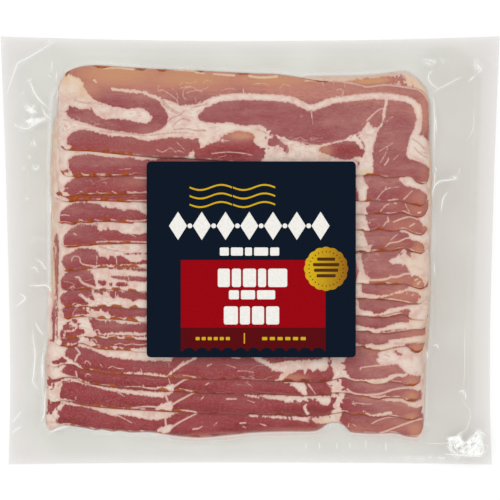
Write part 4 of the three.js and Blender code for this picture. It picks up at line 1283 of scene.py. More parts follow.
    # Along the lowest lips the rind lies on dark lean and is darker itself.
    darker = addNode(tree, "ShaderNodeMapRange", None,
                     {"Value": wander.outputs["Fac"], "From Min": 0.42, "From Max": 0.6, "To Max": 0.7})
    howDark = addNode(tree, "ShaderNodeMath", {"operation": "MAXIMUM"}, {0: burnt, 1: darker.outputs[0]})
    rindColour = addNode(tree, "ShaderNodeMix", {"data_type": "RGBA"},
                         {0: howDark.outputs[0], 6: colour(meatLook["rind"]),
                          7: colour(meatLook["darkRind"])})
    skinned = addNode(tree, "ShaderNodeMix", {"data_type": "RGBA"},
                      {0: rindShare.outputs[0], 6: smoked.outputs[2], 7: rindColour.outputs[2]})
    gloss = addNode(tree, "ShaderNodeMapRange", None, {"Value": fatShare, "To Min": 0.36, "To Max": 0.46})
    bumps = addNode(tree, "ShaderNodeBump", None,
                    {"Height": grain.outputs["Fac"], "Strength": 0.25, "Distance": 0.15 * millimetre})
    surface = addNode(tree, "ShaderNodeBsdfPrincipled", None,
                      {"Base Color": skinned.outputs[2], "Roughness": gloss.outputs[0], "IOR": 1.38,
                       "Specular IOR Level": meatLook["shine"], "Normal": bumps.outputs[0]})
    addNode(tree, "ShaderNodeOutputMaterial", None, {"Surface": surface.outputs[0]})
    return material


# Where the lowest lips lie on dark lean: how dark the rind is there, and from where to where
burntRind = {"share": 0.85, "from": (-36, -28), "to": (-50, -42)}
settleSteps = 4


# One rasher: a slab from its lip to its hidden upper edge, resting on those below it
def rasherPiece(k, material):
    step = (rasher["meshStep"] if k else rasher["topMeshStep"]) * 1
    whole = upperAt(k, 0.0) - lipAt(k, 0.0)
    strip = lipAt(k - 1, 0.0) - lipAt(k, 0.0) + 3 if k else whole
    shown = min(1.0, strip / whole)
    shownRows = round(strip / step)
    hiddenRows = max(0, round((whole - strip) / rasher["hiddenStep"]))
    rows = shownRows + hiddenRows
    columns = round(rasher["meshLength"] / step)
    lipCorner, topCorner = rasher["lipCorner"], upperCorner(k)

    def place(u, v, onTop):
        share = np.interp(v * rows, [0, shownRows, rows + 1e-6], [0, shown, 1.0 if hiddenRows else shown])
        x = lerp(rasher["roughLeft"], rasher["roughRight"], u)
        for _ in range(settleSteps):
            low, high = lipAt(k, x), upperAt(k, x)
            y = lerp(low, high, share)
            left, right = endsOf(k, y)
            byLip = np.maximum(lipCorner - (y - low), 0)
            byTop = np.maximum(topCorner - (high - y), 0)
            inset = lipCorner - np.sqrt(np.maximum(lipCorner ** 2 - byLip ** 2, 0))
            inset = inset + topCorner - np.sqrt(np.maximum(topCorner ** 2 - byTop ** 2, 0))
            x = lerp(left + inset, right - inset, u)
        bottom = stackTop(k + 1, x, y)
        top = bottom + np.maximum(thicknessOf(k, x, y), rasher["leastThickness"])
        return np.column_stack([x, y, np.where(onTop, top, bottom)])

    mesh, placed, onTop = gridSlab(f"rasher_{k + 1}", columns, rows, place)
    x, y = placed[:, 0], placed[:, 1]
    fat, seams, threads = fatField(k, x, y)
    burnt = (k >= firstBelowLabel) * smooth(x, *burntRind["from"]) * smooth(-x, *burntRind["to"])
    setAttribute(mesh, "fat", fat)
    setAttribute(mesh, "seam", seams)
    setAttribute(mesh, "thread", np.clip(1 + threads / meatLook["threadWidth"], 0, 1))
    setAttribute(mesh, "rind", rindField(k, x, y))
    setAttribute(mesh, "burnt", burntRind["share"] * burnt)
    setAttribute(mesh, "smoke", smokedField(k, x, y))
    setAttribute(mesh, "depth", leanTone(k, x, y))
    return addObject(f"rasher_{k + 1}", mesh, material)


# The stack as a whole, under its film
film = {
    "layer": 2.6, "layersInMiddle": 4.7, "layersAtTop": 1.1, "layersAtLip": 0.55, "buildUp": 46.0,
    "runOut": 50.0, "uneven": 0.28, "slopeOut": 6.5, "slopeIn": 1.6, "gap": 0.13, "underLabel": 0.06,
    "edgeHeight": 0.55, "leastEdge": 1.2, "spread": 1.0, "corner": 6.0, "tightFrom": -3.0,
    "stuckOver": (-4.5, -0.2), "lowerSink": 0.3,
    "columns": (9, 24, 12, 146, 12, 26, 9), "rows": (6, 11, 12, 147, 12, 11, 6),
}


def stackBottom(x):
    return lipAt(rasherCount - 1, x)


def stackUpper(x):
    hiddenSecond = 200 * (x < 20)
    return np.maximum(lineAt(topEdge, x), lineAt(secondEdge, x) - hiddenSecond)


def insideStack(x, y):
    left, right = stackSides(y)
    dx = np.minimum(x - left, right - x)
    dy = np.minimum(y - stackBottom(x), stackUpper(x) - y)
    return roundedInside(dx, dy, film["corner"])


# The stack's smooth height in the CAD model, which the label is bent over
def stackLevel(x, y):
    up = np.clip((y - stackBottom(x)) / film["buildUp"], 0, 1)
    down = np.clip((stackUpper(x) - y) / film["runOut"], 0, 1)
    atLip = film["layersAtLip"]
    rise = atLip + (film["layersInMiddle"] - atLip) * (1 - (1 - up) ** 1.5)
    layers = np.minimum(rise, lerp(film["layersAtTop"], film["layersInMiddle"], 1 - (1 - down) ** 1.8))
    uneven = film["uneven"] * (np.sin(x / 11 + y / 29) + np.sin(x / 6.3 - y / 41) / 2)
    return film["layer"] * layers + uneven * smooth(up, 0.1, 0.6)


# Creases pressed into the film: points of the view, then height and half width in mm
creases = [
    ([(54, 42), (45, 47.5), (36, 53), (27.5, 58), (18, 63), (16, 67), (11, 81), (6.6, 94)], 0.45, 1.0),
    ([(29, 80), (34, 92), (40, 100.5), (49, 108.4)], 0.22, 1.2),
    ([(42, 108), (45, 114), (50, 119)], 0.4, 1.1),
    ([(18, 126.6), (27, 128.7), (37, 123), (47, 118)], 0.4, 1.1),
    ([(58, 90), (56.4, 99)], 0.3, 0.8),
    ([(25.4, 198), (28.7, 200)], 0.3, 1.0),
    ([(31.6, 242), (33.5, 238), (43, 239.4), (48, 242)], 0.25, 1.6),
    ([(37, 259.5), (42, 263), (45, 268.6), (48, 268.6)], 0.35, 1.0),
    ([(30.6, 268), (35.4, 268), (38.3, 273.4)], 0.3, 1.0),
    ([(29, 285.4), (38, 285.8), (46, 285.4), (51.7, 290.6)], 0.35, 1.1),
    ([(19.5, 293.4), (25.3, 298.6), (15, 307)], 0.2, 1.2),
    ([(35.6, 322), (38, 328), (43.6, 335)], 0.35, 1.0),
    ([(32.7, 330), (33.3, 339.4), (35, 354.3), (34.4, 364.6), (33.3, 377), (32.7, 382), (39, 390)], 0.4, 1.1),
    ([(43, 363.5), (42.5, 377)], 0.3, 0.9),
    ([(46, 388.7), (44.8, 400), (44.2, 414), (40.2, 422)], 0.4, 1.0),
    ([(20.7, 411.7), (12, 423)], 0.3, 1.0),
    ([(20.7, 426.6), (12, 432.3)], 0.3, 1.0),
    ([(49.4, 433), (57.4, 429.5), (66.6, 426.6)], 0.4, 0.9),
    ([(462, 77), (457, 79), (449, 83.6), (439, 88.4), (433.4, 92)], 0.35, 0.7),
    ([(435, 116), (436.7, 131)], 0.35, 0.9),
    ([(433.4, 70), (429, 74), (429, 80), (432.4, 84.5), (438, 88.4)], 0.35, 0.9),
    ([(475.5, 62), (481, 70), (477.4, 72)], 0.4, 1.0),
    ([(474.5, 76), (469, 81)], 0.35, 1.0),
    ([(473.6, 111), (473.6, 126), (469.7, 137), (465, 141)], 0.12, 0.45),
    ([(461, 167), (458, 173.5)], 0.12, 0.45),
    ([(423, 59), (431, 60), (433.4, 61.4), (437.4, 61.8)], 0.3, 0.7),
    ([(425, 62.4), (430, 64), (432, 66.4)], 0.3, 0.6),
    ([(442.6, 60.4), (444.4, 64)], 0.3, 0.6),
    ([(474, 60), (477.6, 66), (478.4, 72)], 0.3, 0.6),
    ([(27.4, 81.8), (31, 79.4)], 0.4, 1.1),
    ([(19.6, 126.4), (21.6, 128)], 0.4, 1.2),
    ([(14.6, 124), (17, 127)], 0.3, 0.9),
    ([(23, 167.8), (24.6, 168.6)], 0.4, 1.2),
    ([(32.6, 165.6), (34.4, 169), (38, 168), (38.6, 165)], 0.4, 0.9),
    ([(29.6, 155.4), (29.6, 158.6)], 0.4, 0.9),
    ([(33.4, 140), (35.4, 146.6)], 0.3, 1.1),
    ([(31.2, 142.4), (32.2, 146.4)], 0.3, 0.8),
    ([(48.4, 41.4), (49.4, 42.2)], 0.4, 1.2),
    ([(4, 43), (1.6, 44)], 0.3, 1.0),
    ([(21.6, 92.6), (23.4, 94.4)], 0.3, 0.8),
    ([(432.6, 346), (437, 345), (438.4, 349)], 0.3, 0.9),
    ([(426.6, 351), (427.4, 358)], 0.3, 0.9),
    ([(435, 167.4), (436.6, 171)], 0.3, 1.1),
    ([(453, 176), (456.4, 179.4)], 0.3, 1.1),
    ([(457.8, 176), (454.7, 178.7), (448.6, 180), (440.4, 181), (435.3, 185), (432.8, 190),
      (432, 196.5)], 0.4, 1.1),
    ([(447.6, 192), (443.5, 197.6), (442, 203.7), (441, 211)], 0.35, 1.1),
    ([(435, 221), (435, 250)], 0.25, 1.6),
    ([(465, 320), (464.5, 350), (464.5, 377), (462.6, 389)], 0.15, 0.5),
    ([(459.2, 392.7), (462.6, 390.3), (463.5, 395)], 0.4, 0.9),
    ([(465, 391), (466, 399)], 0.35, 0.9),
    ([(461, 397.5), (464, 403), (469.7, 410), (470.7, 415.7), (468.8, 423), (466, 430), (461, 433),
      (452.5, 437.7)], 0.12, 0.45),
    ([(479, 431), (487, 436)], 0.4, 1.0),
    ([(306, 443), (306, 449)], 0.2, 0.8),
    ([(319.5, 443), (319.5, 449)], 0.2, 0.8),
    ([(337, 443), (337, 449)], 0.2, 0.8),
    ([(350, 443), (350, 449)], 0.2, 0.8),
    ([(366, 440), (366, 449)], 0.3, 0.8),
    ([(386, 443), (386, 451)], 0.3, 0.8),
    # the lower right corner, folded in a fan
    ([(425, 443), (437, 444), (449, 443), (457, 440), (463, 434)], 0.12, 0.5),
    ([(478, 430), (474, 436), (468, 441), (460, 445)], 0.3, 1.2),
    ([(479, 431), (476, 438), (470, 444), (461, 449)], 0.3, 1.2),
    ([(480, 432), (478, 440), (473, 446), (465, 452)], 0.3, 1.2),
    ([(480.5, 434), (480, 442), (476, 448), (470, 454)], 0.3, 1.2),
    ([(481, 436), (481.5, 444), (479, 450), (475, 455)], 0.3, 1.2),
    ([(482, 440), (483, 448), (483, 455)], 0.3, 1.2),
    ([(450, 440), (449.6, 446), (452, 452)], 0.3, 1.2),
    ([(453, 440), (455, 447), (459, 452)], 0.3, 1.2),
    ([(457, 440), (461, 446), (464, 450)], 0.3, 1.2),
    ([(444, 454), (458, 455), (472, 456), (483, 457)], 0.3, 1.2),
    ([(449, 442), (457, 437), (462, 432)], 0.3, 1.2),
    ([(450, 444), (458, 439)], 0.3, 1.2),
    ([(447, 446), (452, 451), (458, 454)], 0.3, 1.2),
    ([(460, 452), (468, 446), (474, 439)], 0.3, 1.0),
    ([(463, 454), (471, 449), (477, 442)], 0.3, 1.0),
    ([(468, 455), (475, 451), (480, 446)], 0.3, 1.0),
    # a pinched wedge at the left
    ([(27, 105), (32, 109), (38, 113)], 0.3, 1.2),
    ([(27, 108), (31, 111), (35, 113.6)], 0.3, 1.2),
    ([(27, 127), (34, 123), (41, 119.5), (46, 117)], 0.3, 1.2),
    ([(47, 75), (52, 78)], 0.2, 0.8),
    ([(52, 60), (51.4, 72)], 0.2, 0.8),
    ([(56.6, 72), (55.8, 82)], 0.2, 0.8),
    ([(51, 200), (50.8, 214)], 0.2, 0.8),
    ([(48.5, 284), (50.5, 292)], 0.2, 0.8),
    ([(43, 352), (42, 366), (43, 378)], 0.2, 0.8),
    ([(434, 96), (434.4, 120), (434, 150)], 0.2, 0.8),
    ([(435, 172), (434, 186)], 0.2, 0.8),
    ([(434, 262), (435, 276)], 0.2, 0.8),
]
# Painted highlights where the folded film shows white glints, in broken patches: middle, half sizes in pixels
# of the view, and strength
paintedHighlightPatches = [(467, 446, 16, 7, 9.0), (455, 440, 7, 5, 8.0), (477, 440, 5, 9, 8.0), (475, 453, 9, 3, 8.0),
                (30, 109, 5, 5, 6.0), (29, 123, 5, 5, 6.0), (36, 121, 9, 3, 5.0), (435, 62, 14, 3, 2.5),
                (476, 66, 3, 6, 3.0), (440, 458, 46, 2, 2.0)]
# Patches of fine crinkles: middle, half sizes in pixels of the view, and height in mm
crinkles = [(32, 116, 7, 12, 0.4), (30, 156, 3, 3, 0.5), (23, 168, 3, 3, 0.5), (35, 168, 4, 4, 0.4),
            (31, 194, 5, 6, 0.25), (458, 444, 9, 9, 0.5), (480, 443, 8, 12, 0.5), (453, 178, 3, 3, 0.4),
            (475, 195, 5, 3, 0.35), (437, 346, 3, 3, 0.3), (426, 358, 3, 3, 0.3), (461, 240, 6, 14, 0.15),
            (473, 254, 6, 14, 0.15)]
crinkleSize = 2.2


def creaseRise(x, y):
    rise = np.zeros(x.shape)
    for points, height, width in creases:
        line = throughPoints(onPack(points))
        near = nearLine(x, y, line, 3 * width)
        if near.any():
            gap, along, _ = measureTo(x[near], y[near], line)
            fade = 0.5 + 0.5 * np.sin(np.pi * np.clip(along, 0, 1))
            rise[near] += height * np.exp(-(gap / width) ** 2) * fade
    px, py = inView(x, y)
    for *patch, height in crinkles:
        rise += height * np.exp(-patchGap(px, py, patch)) * np.abs(unevenness(x, y, crinkleSize, patch[0]))
    return rise


# Sharp folds run along the tighter creases, in mm
folds = {"sharpUpTo": 1.25, "halfWidth": 0.34, "height": 0.22, "sunk": 0.08, "lift": 0.01, "step": 0.9,
         "turnOver": 0.3, "blunt": 0.03, "taper": 0.7}


def filmHeights(x, y):
    inside = insideStack(x, y)
    web = webLevel(x, y)
    edge = np.maximum(film["edgeHeight"] * stackLevel(x, y), film["leastEdge"])
    loose = lerp(web + pouch["rimThickness"], edge, smooth(inside, -film["slopeOut"], film["slopeIn"]))
    tight = np.zeros(x.shape)
    near = inside > film["tightFrom"]
    for dx in (-film["spread"], 0, film["spread"]):
        for dy in (-film["spread"], 0, film["spread"]):
            tight[near] = np.maximum(tight[near], stackTop(0, x[near] + dx, y[near] + dy))
    top = np.maximum(loose, tight + film["gap"]) + creaseRise(x, y)
    # The film is stuck to the label, which bridges the steps between rashers.
    stuck = np.maximum(top, labelLevel(y) - film["underLabel"])
    top = lerp(top, stuck, smooth(underLabel(x, y), *film["stuckOver"]))
    bottom = web * smooth(-inside, film["lowerSink"], film["slopeOut"])
    return top, bottom


# Where the film comes down beside the meat it is milky in a ring, made whiter there and on the steep wall as
# painted fill light over the contact shadow, and thin pink juice has gathered along the bottom; all in mm,
# with two values for beside the stack and below it
filmMarksAndPaintedLight = {
    "low": (96, 101), "ringOut": (1.1, 1.3), "ringWidth": (1.0, 1.3), "ringUneven": 0.5,
    "ringUnevenSize": 9.0, "rightShare": 0.3, "rightOver": (60, 95), "wallOut": 0.2, "wallWidth": 0.6,
    "wall": (0.3, 0.6),
    "juice": 0.6, "juiceFrom": (-60, -40), "juiceGapAt": 49, "juiceGap": (5, 9),
    "creaseFull": 0.4, "ringMilkAndPaintedFill": 1.2, "wallPaintedFill": 3.0, "juiceMilk": 2.0, "whiteSize": 1.7,
    "whiteShare": 0.45, "whiteUneven": 1.3, "sealOver": 4.0, "clingOver": (-2.5, 2),
}


def filmPiece(material):
    coarser = 1
    columnSteps = [count // coarser for count in film["columns"]]
    rowSteps = [count // coarser for count in film["rows"]]
    columns, rows = sum(columnSteps), sum(rowSteps)
    columnMarks = np.concatenate([[0], np.cumsum(columnSteps)]) / columns
    rowMarks = np.concatenate([[0], np.cumsum(rowSteps)]) / rows

    def between(value, marks, stops):
        at = np.clip(np.searchsorted(marks, value, side="right") - 1, 0, len(marks) - 2)
        share = (value - marks[at]) / (marks[at + 1] - marks[at])
        stops = np.stack([np.broadcast_to(s, value.shape) for s in stops])
        every = np.arange(value.size)
        return lerp(stops[at, every], stops[at + 1, every], share)

    def place(u, v, onTop):
        slopeOut, slopeIn = film["slopeOut"], film["slopeIn"]
        x = lerp(-pouch["roughHalfWidth"], pouch["roughHalfWidth"], u)
        y = lerp(-pouch["roughHalfHeight"], pouch["roughHalfHeight"], v)
        for _ in range(settleSteps):
            edge = pouchHalfWidth(y)
            left, right = stackSides(y)
            pocket = edge - pouch["sideSealWidth"]
            x = between(u, columnMarks, [-edge, -pocket, left - slopeOut, left + slopeIn, right - slopeIn,
                                         right + slopeOut, pocket, edge])
            low, high = stackBottom(x), stackUpper(x)
            bottom, top = pouchBottom(x), pouchTop(x)
            y = between(v, rowMarks, [bottom, bottom + pouch["endSealWidth"], low - slopeOut, low + slopeIn,
                                      high - slopeIn, high + slopeOut, top - pouch["endSealWidth"], top])
        upper, lower = filmHeights(x, y)
        return np.column_stack([x, y, np.where(onTop, upper, lower)])

    mesh, placed, onTop = gridSlab("clear_film", columns, rows, place)
    x, y = placed[:, 0], placed[:, 1]
    inside = insideStack(x, y)
    # Painted fill light: the milky ring and the wall beside the meat are whitened so that the contact shadow
    # there is lit over
    low = smooth(-y, *filmMarksAndPaintedLight["low"])
    ring = np.exp(-((inside + lerp(*filmMarksAndPaintedLight["ringOut"], low)) / lerp(*filmMarksAndPaintedLight["ringWidth"], low)) ** 2)
    ring = ring * (1 + filmMarksAndPaintedLight["ringUneven"] * unevenness(x, y, filmMarksAndPaintedLight["ringUnevenSize"], 7))
    ring = ring * np.maximum(lerp(1, filmMarksAndPaintedLight["rightShare"], smooth(x, *filmMarksAndPaintedLight["rightOver"])), low)
    wall = np.exp(-((inside + filmMarksAndPaintedLight["wallOut"]) / filmMarksAndPaintedLight["wallWidth"]) ** 2)
    wall = wall * lerp(*filmMarksAndPaintedLight["wall"], low)
    juice = filmMarksAndPaintedLight["juice"] * np.clip(ring, 0, 1) * low * smooth(x, *filmMarksAndPaintedLight["juiceFrom"])
    juice = juice * smooth(np.abs(x - filmMarksAndPaintedLight["juiceGapAt"]), *filmMarksAndPaintedLight["juiceGap"])
    # Painted highlights on the creases and in the white patches, painted fill light in the ring and at the
    # wall, and the milk of the juice
    milkAndPaintedLight = creaseRise(x, y) / filmMarksAndPaintedLight["creaseFull"] + filmMarksAndPaintedLight["ringMilkAndPaintedFill"] * ring
    milkAndPaintedLight = milkAndPaintedLight + filmMarksAndPaintedLight["wallPaintedFill"] * wall + filmMarksAndPaintedLight["juiceMilk"] * juice
    px, py = inView(x, y)
    for *patch, strength in paintedHighlightPatches:
        uneven = unevenness(x, y, filmMarksAndPaintedLight["whiteSize"], patch[0])
        patchHighlight = np.clip(filmMarksAndPaintedLight["whiteShare"] + filmMarksAndPaintedLight["whiteUneven"] * uneven, 0, 1)
        milkAndPaintedLight = milkAndPaintedLight + strength * np.exp(-patchGap(px, py, patch) ** 1.5) * patchHighlight
    setAttribute(mesh, "milkAndPaintedLightAmount", np.where(onTop, milkAndPaintedLight, 0))
    setAttribute(mesh, "juice", juice)
    setAttribute(mesh, "sealed", smooth(-insidePocket(x, y), 0, filmMarksAndPaintedLight["sealOver"]))
    setAttribute(mesh, "cling", smooth(inside, *filmMarksAndPaintedLight["clingOver"]))
    return addObject("clear_film", mesh, material)


# One low ridge for each sharp fold, all in one mesh
def foldsPiece(material):
    joined = bmesh.new()
    for points, height, width in creases:
        if width > folds["sharpUpTo"]:
            continue
        line = throughPoints(onPack(points))
        reached = np.concatenate([[0], np.cumsum(np.hypot(*np.diff(line, axis=0).T))])
        length = reached[-1]

        def pointAt(at):
            return np.interp(at, reached, line[:, 0]), np.interp(at, reached, line[:, 1])

        def place(u, v, onTop):
            at = u * length
            x, y = pointAt(at)
            backX, backY = pointAt(np.maximum(at - folds["turnOver"], 0))
            aheadX, aheadY = pointAt(np.minimum(at + folds["turnOver"], length))
            dx, dy = aheadX - backX, aheadY - backY
            across = (v - 0.5) * 2
            taper = np.sin(np.pi * np.clip(u, folds["blunt"], 1 - folds["blunt"])) ** folds["taper"]
            half = folds["halfWidth"] * width * taper / np.hypot(dx, dy)
            x, y = x - dy * across * half, y + dx * across * half
            level = filmHeights(x, y)[0]
            ridge = level + folds["height"] * taper * (1 - np.abs(across)) + folds["lift"]
            return np.column_stack([x, y, np.where(onTop, ridge, level - folds["sunk"])])

        mesh = gridSlab("fold", max(3, math.ceil(length / folds["step"])), 2, place)[0]
        joined.from_mesh(mesh)
        bpy.data.meshes.remove(mesh)
    mesh = bpy.data.meshes.new("film_folds")
    joined.to_mesh(mesh)
    joined.free()
    mesh.polygons.foreach_set("use_smooth", np.zeros(len(mesh.polygons), bool))
    return addObject("film_folds", mesh, material)


# Coextruded nylon and polyethylene vacuum film: clear, glossy and faintly grey, with fine handling crinkles,
# with painted highlights in white along its creases and patches, and milky beside the meat with painted fill
# light
filmLook = {
    "tint": "F4F4F2", "greyTint": "F1F0EE", "sealedTint": "F5F4F3", "tintPatch": 38.0,
    "greyFrom": 90.0, "greyFully": 110.0,   # mm to the right, where the light on it is greyer
    "milkAndPaintedLight": "F6F6F4", "juice": "DCAC9E", "foldHighlight": "FCFCFA",
    "haze": 0.02, "milkAndLightMix": 0.16, "foldHighlightShare": 0.8,
    "roughness": 0.14, "crinkle": 7.0, "crinkleDepth": 0.4, "bump": 0.3, "ior": 1.3, "wetShine": 0.35,
}


def filmMaterial():
    material, tree = newMaterial("clear_vacuum_film")
    place = addNode(tree, "ShaderNodeTexCoord").outputs["Object"]
    wide = addNode(tree, "ShaderNodeTexNoise", None,
                   {"Vector": place, "Scale": perMetre / filmLook["crinkle"], "Detail": 3.0,
                    "Distortion": 0.4})
    bumps = addNode(tree, "ShaderNodeBump", None,
                    {"Height": wide.outputs["Fac"], "Strength": filmLook["bump"],
                     "Distance": filmLook["crinkleDepth"] * millimetre}).outputs[0]
    patches = addNode(tree, "ShaderNodeTexNoise", None,
                      {"Vector": place, "Scale": perMetre / filmLook["tintPatch"], "Detail": 2.0})
    greyer = addNode(tree, "ShaderNodeMapRange", None,
                     {"Value": patches.outputs["Fac"], "From Min": 0.4, "From Max": 0.6, "To Max": 0.45})
    across = addNode(tree, "ShaderNodeSeparateXYZ", None, {0: place}).outputs[0]
    atRight = addNode(tree, "ShaderNodeMapRange", None,
                      {"Value": across, "From Min": filmLook["greyFrom"] * millimetre,
                       "From Max": filmLook["greyFully"] * millimetre, "To Max": 0.6})
    grey = addNode(tree, "ShaderNodeMath", {"operation": "ADD", "use_clamp": True},
                   {0: greyer.outputs[0], 1: atRight.outputs[0]})
    tint = addNode(tree, "ShaderNodeMix", {"data_type": "RGBA"},
                   {0: grey.outputs[0], 6: colour(filmLook["tint"]), 7: colour(filmLook["greyTint"])})
    sealed, juice, milkAndLightInput, cling = [
        addNode(tree, "ShaderNodeAttribute", {"attribute_name": name}).outputs["Fac"]
        for name in ("sealed", "juice", "milkAndPaintedLightAmount", "cling")]
    tint = addNode(tree, "ShaderNodeMix", {"data_type": "RGBA"},
                   {0: sealed, 6: tint.outputs[2], 7: colour(filmLook["sealedTint"])})
    clear = addNode(tree, "ShaderNodeBsdfTransparent", None, {"Color": tint.outputs[2]})
    # The white diffuse part is the film's own haze and juice, together with the painted highlights and
    # painted fill light
    pinked = addNode(tree, "ShaderNodeMix", {"data_type": "RGBA"},
                     {0: juice, 6: colour(filmLook["milkAndPaintedLight"]), 7: colour(filmLook["juice"])})
    milkAndPaintedLight = addNode(tree, "ShaderNodeBsdfDiffuse", None, {"Color": pinked.outputs[2]})
    # Over the meat it clings, wet, and loses its haze and most of its shine.
    hazed = addNode(tree, "ShaderNodeMapRange", None,
                    {"Value": cling, "To Min": filmLook["haze"], "To Max": 0.0})
    # Painted highlights and painted fill light from the attribute, plus the haze away from the meat
    milkAndLightMix = addNode(tree, "ShaderNodeMath", {"operation": "MULTIPLY_ADD", "use_clamp": True},
                       {0: milkAndLightInput, 1: filmLook["milkAndLightMix"], 2: hazed.outputs[0]})
    hazy = addNode(tree, "ShaderNodeMixShader", None,
                   {0: milkAndLightMix.outputs[0], 1: clear.outputs[0], 2: milkAndPaintedLight.outputs[0]})
    shine = addNode(tree, "ShaderNodeBsdfGlossy", None,
                    {"Color": colour("FFFFFF"), "Roughness": filmLook["roughness"], "Normal": bumps})
    facing = addNode(tree, "ShaderNodeFresnel", None, {"IOR": filmLook["ior"], "Normal": bumps})
    loose = addNode(tree, "ShaderNodeMapRange", None,
                    {"Value": cling, "To Min": 1.0, "To Max": filmLook["wetShine"]})
    # Only its outer face shines: seen from within, a low sun angle would shut the clear film like a mirror.
    within = addNode(tree, "ShaderNodeNewGeometry").outputs["Backfacing"]
    outer = addNode(tree, "ShaderNodeMath", {"operation": "SUBTRACT"}, {0: loose.outputs[0], 1: within})
    reflected = addNode(tree, "ShaderNodeMath", {"operation": "MULTIPLY", "use_clamp": True},
                        {0: facing.outputs[0], 1: outer.outputs[0]})
    surface = addNode(tree, "ShaderNodeMixShader", None,
                      {0: reflected.outputs[0], 1: hazy.outputs[0], 2: shine.outputs[0]})
    addNode(tree, "ShaderNodeOutputMaterial", None, {"Surface": surface.outputs[0]})
    return material


# The same film where it is folded sharply: near-white as a painted highlight along each fold, with little
# clear left
def foldMaterial():
    material, tree = newMaterial("folded_film_painted_highlight")
    clear = addNode(tree, "ShaderNodeBsdfTransparent", None, {"Color": colour(filmLook["tint"])})
    # Painted highlight: near-white that stands in for the glints on the sharp folds
    white = addNode(tree, "ShaderNodeBsdfPrincipled", None,
                    {"Base Color": colour(filmLook["foldHighlight"]), "Roughness": 0.25})
    surface = addNode(tree, "ShaderNodeMixShader", None,
                      {0: filmLook["foldHighlightShare"], 1: clear.outputs[0], 2: white.outputs[0]})
    addNode(tree, "ShaderNodeOutputMaterial", None, {"Surface": surface.outputs[0]})
    return material


def labelLevel(y):
    x = np.zeros(np.shape(y))
    return stackLevel(x, y) + 0.5 * label["lipRise"] + label["gap"]


def roundedBar(bm, left, right, low, high, corner, segments=4):
    made = bmesh.ops.create_grid(bm, x_segments=1, y_segments=1, size=0.5)["verts"]
    size = Matrix.Diagonal((right - left, high - low, 1, 1))
    shift = Matrix.Translation(((left + right) / 2, (low + high) / 2, 0))
    bmesh.ops.transform(bm, matrix=shift @ size, verts=made)
    if corner > 0:
        bmesh.ops.bevel(bm, geom=made, offset=corner, offset_type="OFFSET", segments=segments, profile=0.5,
                        affect="VERTICES", material=-1, clamp_overlap=True)


# Bars are given in pixels of the view: left, top, right, bottom
def barOnLabel(bm, left, top, right, bottom, corner):
    (x0, y1), (x1, y0) = onPack([(left, top), (right, bottom)])
    roundedBar(bm, x0, x1, y0, y1, corner * view["pixel"])


def outlineOnLabel(bm, points):
    verts = [bm.verts.new((x, y, 0)) for x, y in onPack(points)]
    bm.faces.new(verts)


# Cuts flat shapes into strips, gives them their thickness and bends them over the stack
def labelPiece(name, bm, low, high, material):
    ys = [v.co.y for v in bm.verts]
    for y in np.arange(math.ceil(min(ys) / label["bendStep"]), max(ys) / label["bendStep"]):
        bmesh.ops.bisect_plane(bm, geom=bm.verts[:] + bm.edges[:] + bm.faces[:], dist=1e-5,
                               plane_co=(0, y * label["bendStep"], 0), plane_no=(0, 1, 0))
    made = bmesh.ops.extrude_face_region(bm, geom=bm.faces[:])
    upper = [v for v in made["geom"] if isinstance(v, bmesh.types.BMVert)]
    bmesh.ops.translate(bm, verts=upper, vec=(0, 0, high - low))
    for v in bm.verts:
        v.co.z += float(labelLevel(v.co.y)) + low
    bmesh.ops.scale(bm, vec=(millimetre,) * 3, verts=bm.verts[:])
    bmesh.ops.recalc_face_normals(bm, faces=bm.faces[:])
    mesh = bpy.data.meshes.new(name)
    bm.to_mesh(mesh)
    bm.free()
    return addObject(name, mesh, material)


# Offset-printed ink on coated paper, under the same gloss: even colour with a fine mottle
def inkMaterial(name, hexColour, secondHex=None, fromX=0.0, toX=1.0):
    material, tree = newMaterial(name)
    place = addNode(tree, "ShaderNodeTexCoord").outputs["Object"]
    mottle = addNode(tree, "ShaderNodeTexNoise", None,
                     {"Vector": place, "Scale": perMetre / label["mottle"], "Detail": 3.0})
    if secondHex:
        across = addNode(tree, "ShaderNodeSeparateXYZ", None, {0: place}).outputs[0]
        share = addNode(tree, "ShaderNodeMapRange", None,
                        {"Value": across, "From Min": fromX * millimetre,
                         "From Max": toX * millimetre}).outputs[0]
        base = addNode(tree, "ShaderNodeMix", {"data_type": "RGBA"},
                       {0: share, 6: colour(hexColour), 7: colour(secondHex)}).outputs[2]
    else:
        base = colour(hexColour)
    shade = addNode(tree, "ShaderNodeMapRange", None,
                    {"Value": mottle.outputs["Fac"], "From Min": 0.3, "From Max": 0.7, "To Min": 0.93,
                     "To Max": 1.06}).outputs[0]
    printed = addNode(tree, "ShaderNodeHueSaturation", None, {"Value": shade, "Color": base})
    rough = addNode(tree, "ShaderNodeMapRange", None,
                    {"Value": mottle.outputs["Fac"], "To Min": 0.3, "To Max": 0.42}).outputs[0]
    surface = addNode(tree, "ShaderNodeBsdfPrincipled", None,
                      {"Base Color": printed.outputs[0], "Roughness": rough, "IOR": 1.45,
                       "Specular IOR Level": label["shine"]})
    addNode(tree, "ShaderNodeOutputMaterial", None, {"Surface": surface.outputs[0]})
    return material


print("meat, film and label materials")
meat = meatMaterial()
clearFilm = filmMaterial()
pieces = [rasherPiece(k, meat) for k in range(rasherCount)]
print("rashers:", len(pieces))
pieces.append(filmPiece(clearFilm))
pieces.append(foldsPiece(foldMaterial()))
print("film")
for piece in pieces:
    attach(piece, "root")
    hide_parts("sealed_pouch")

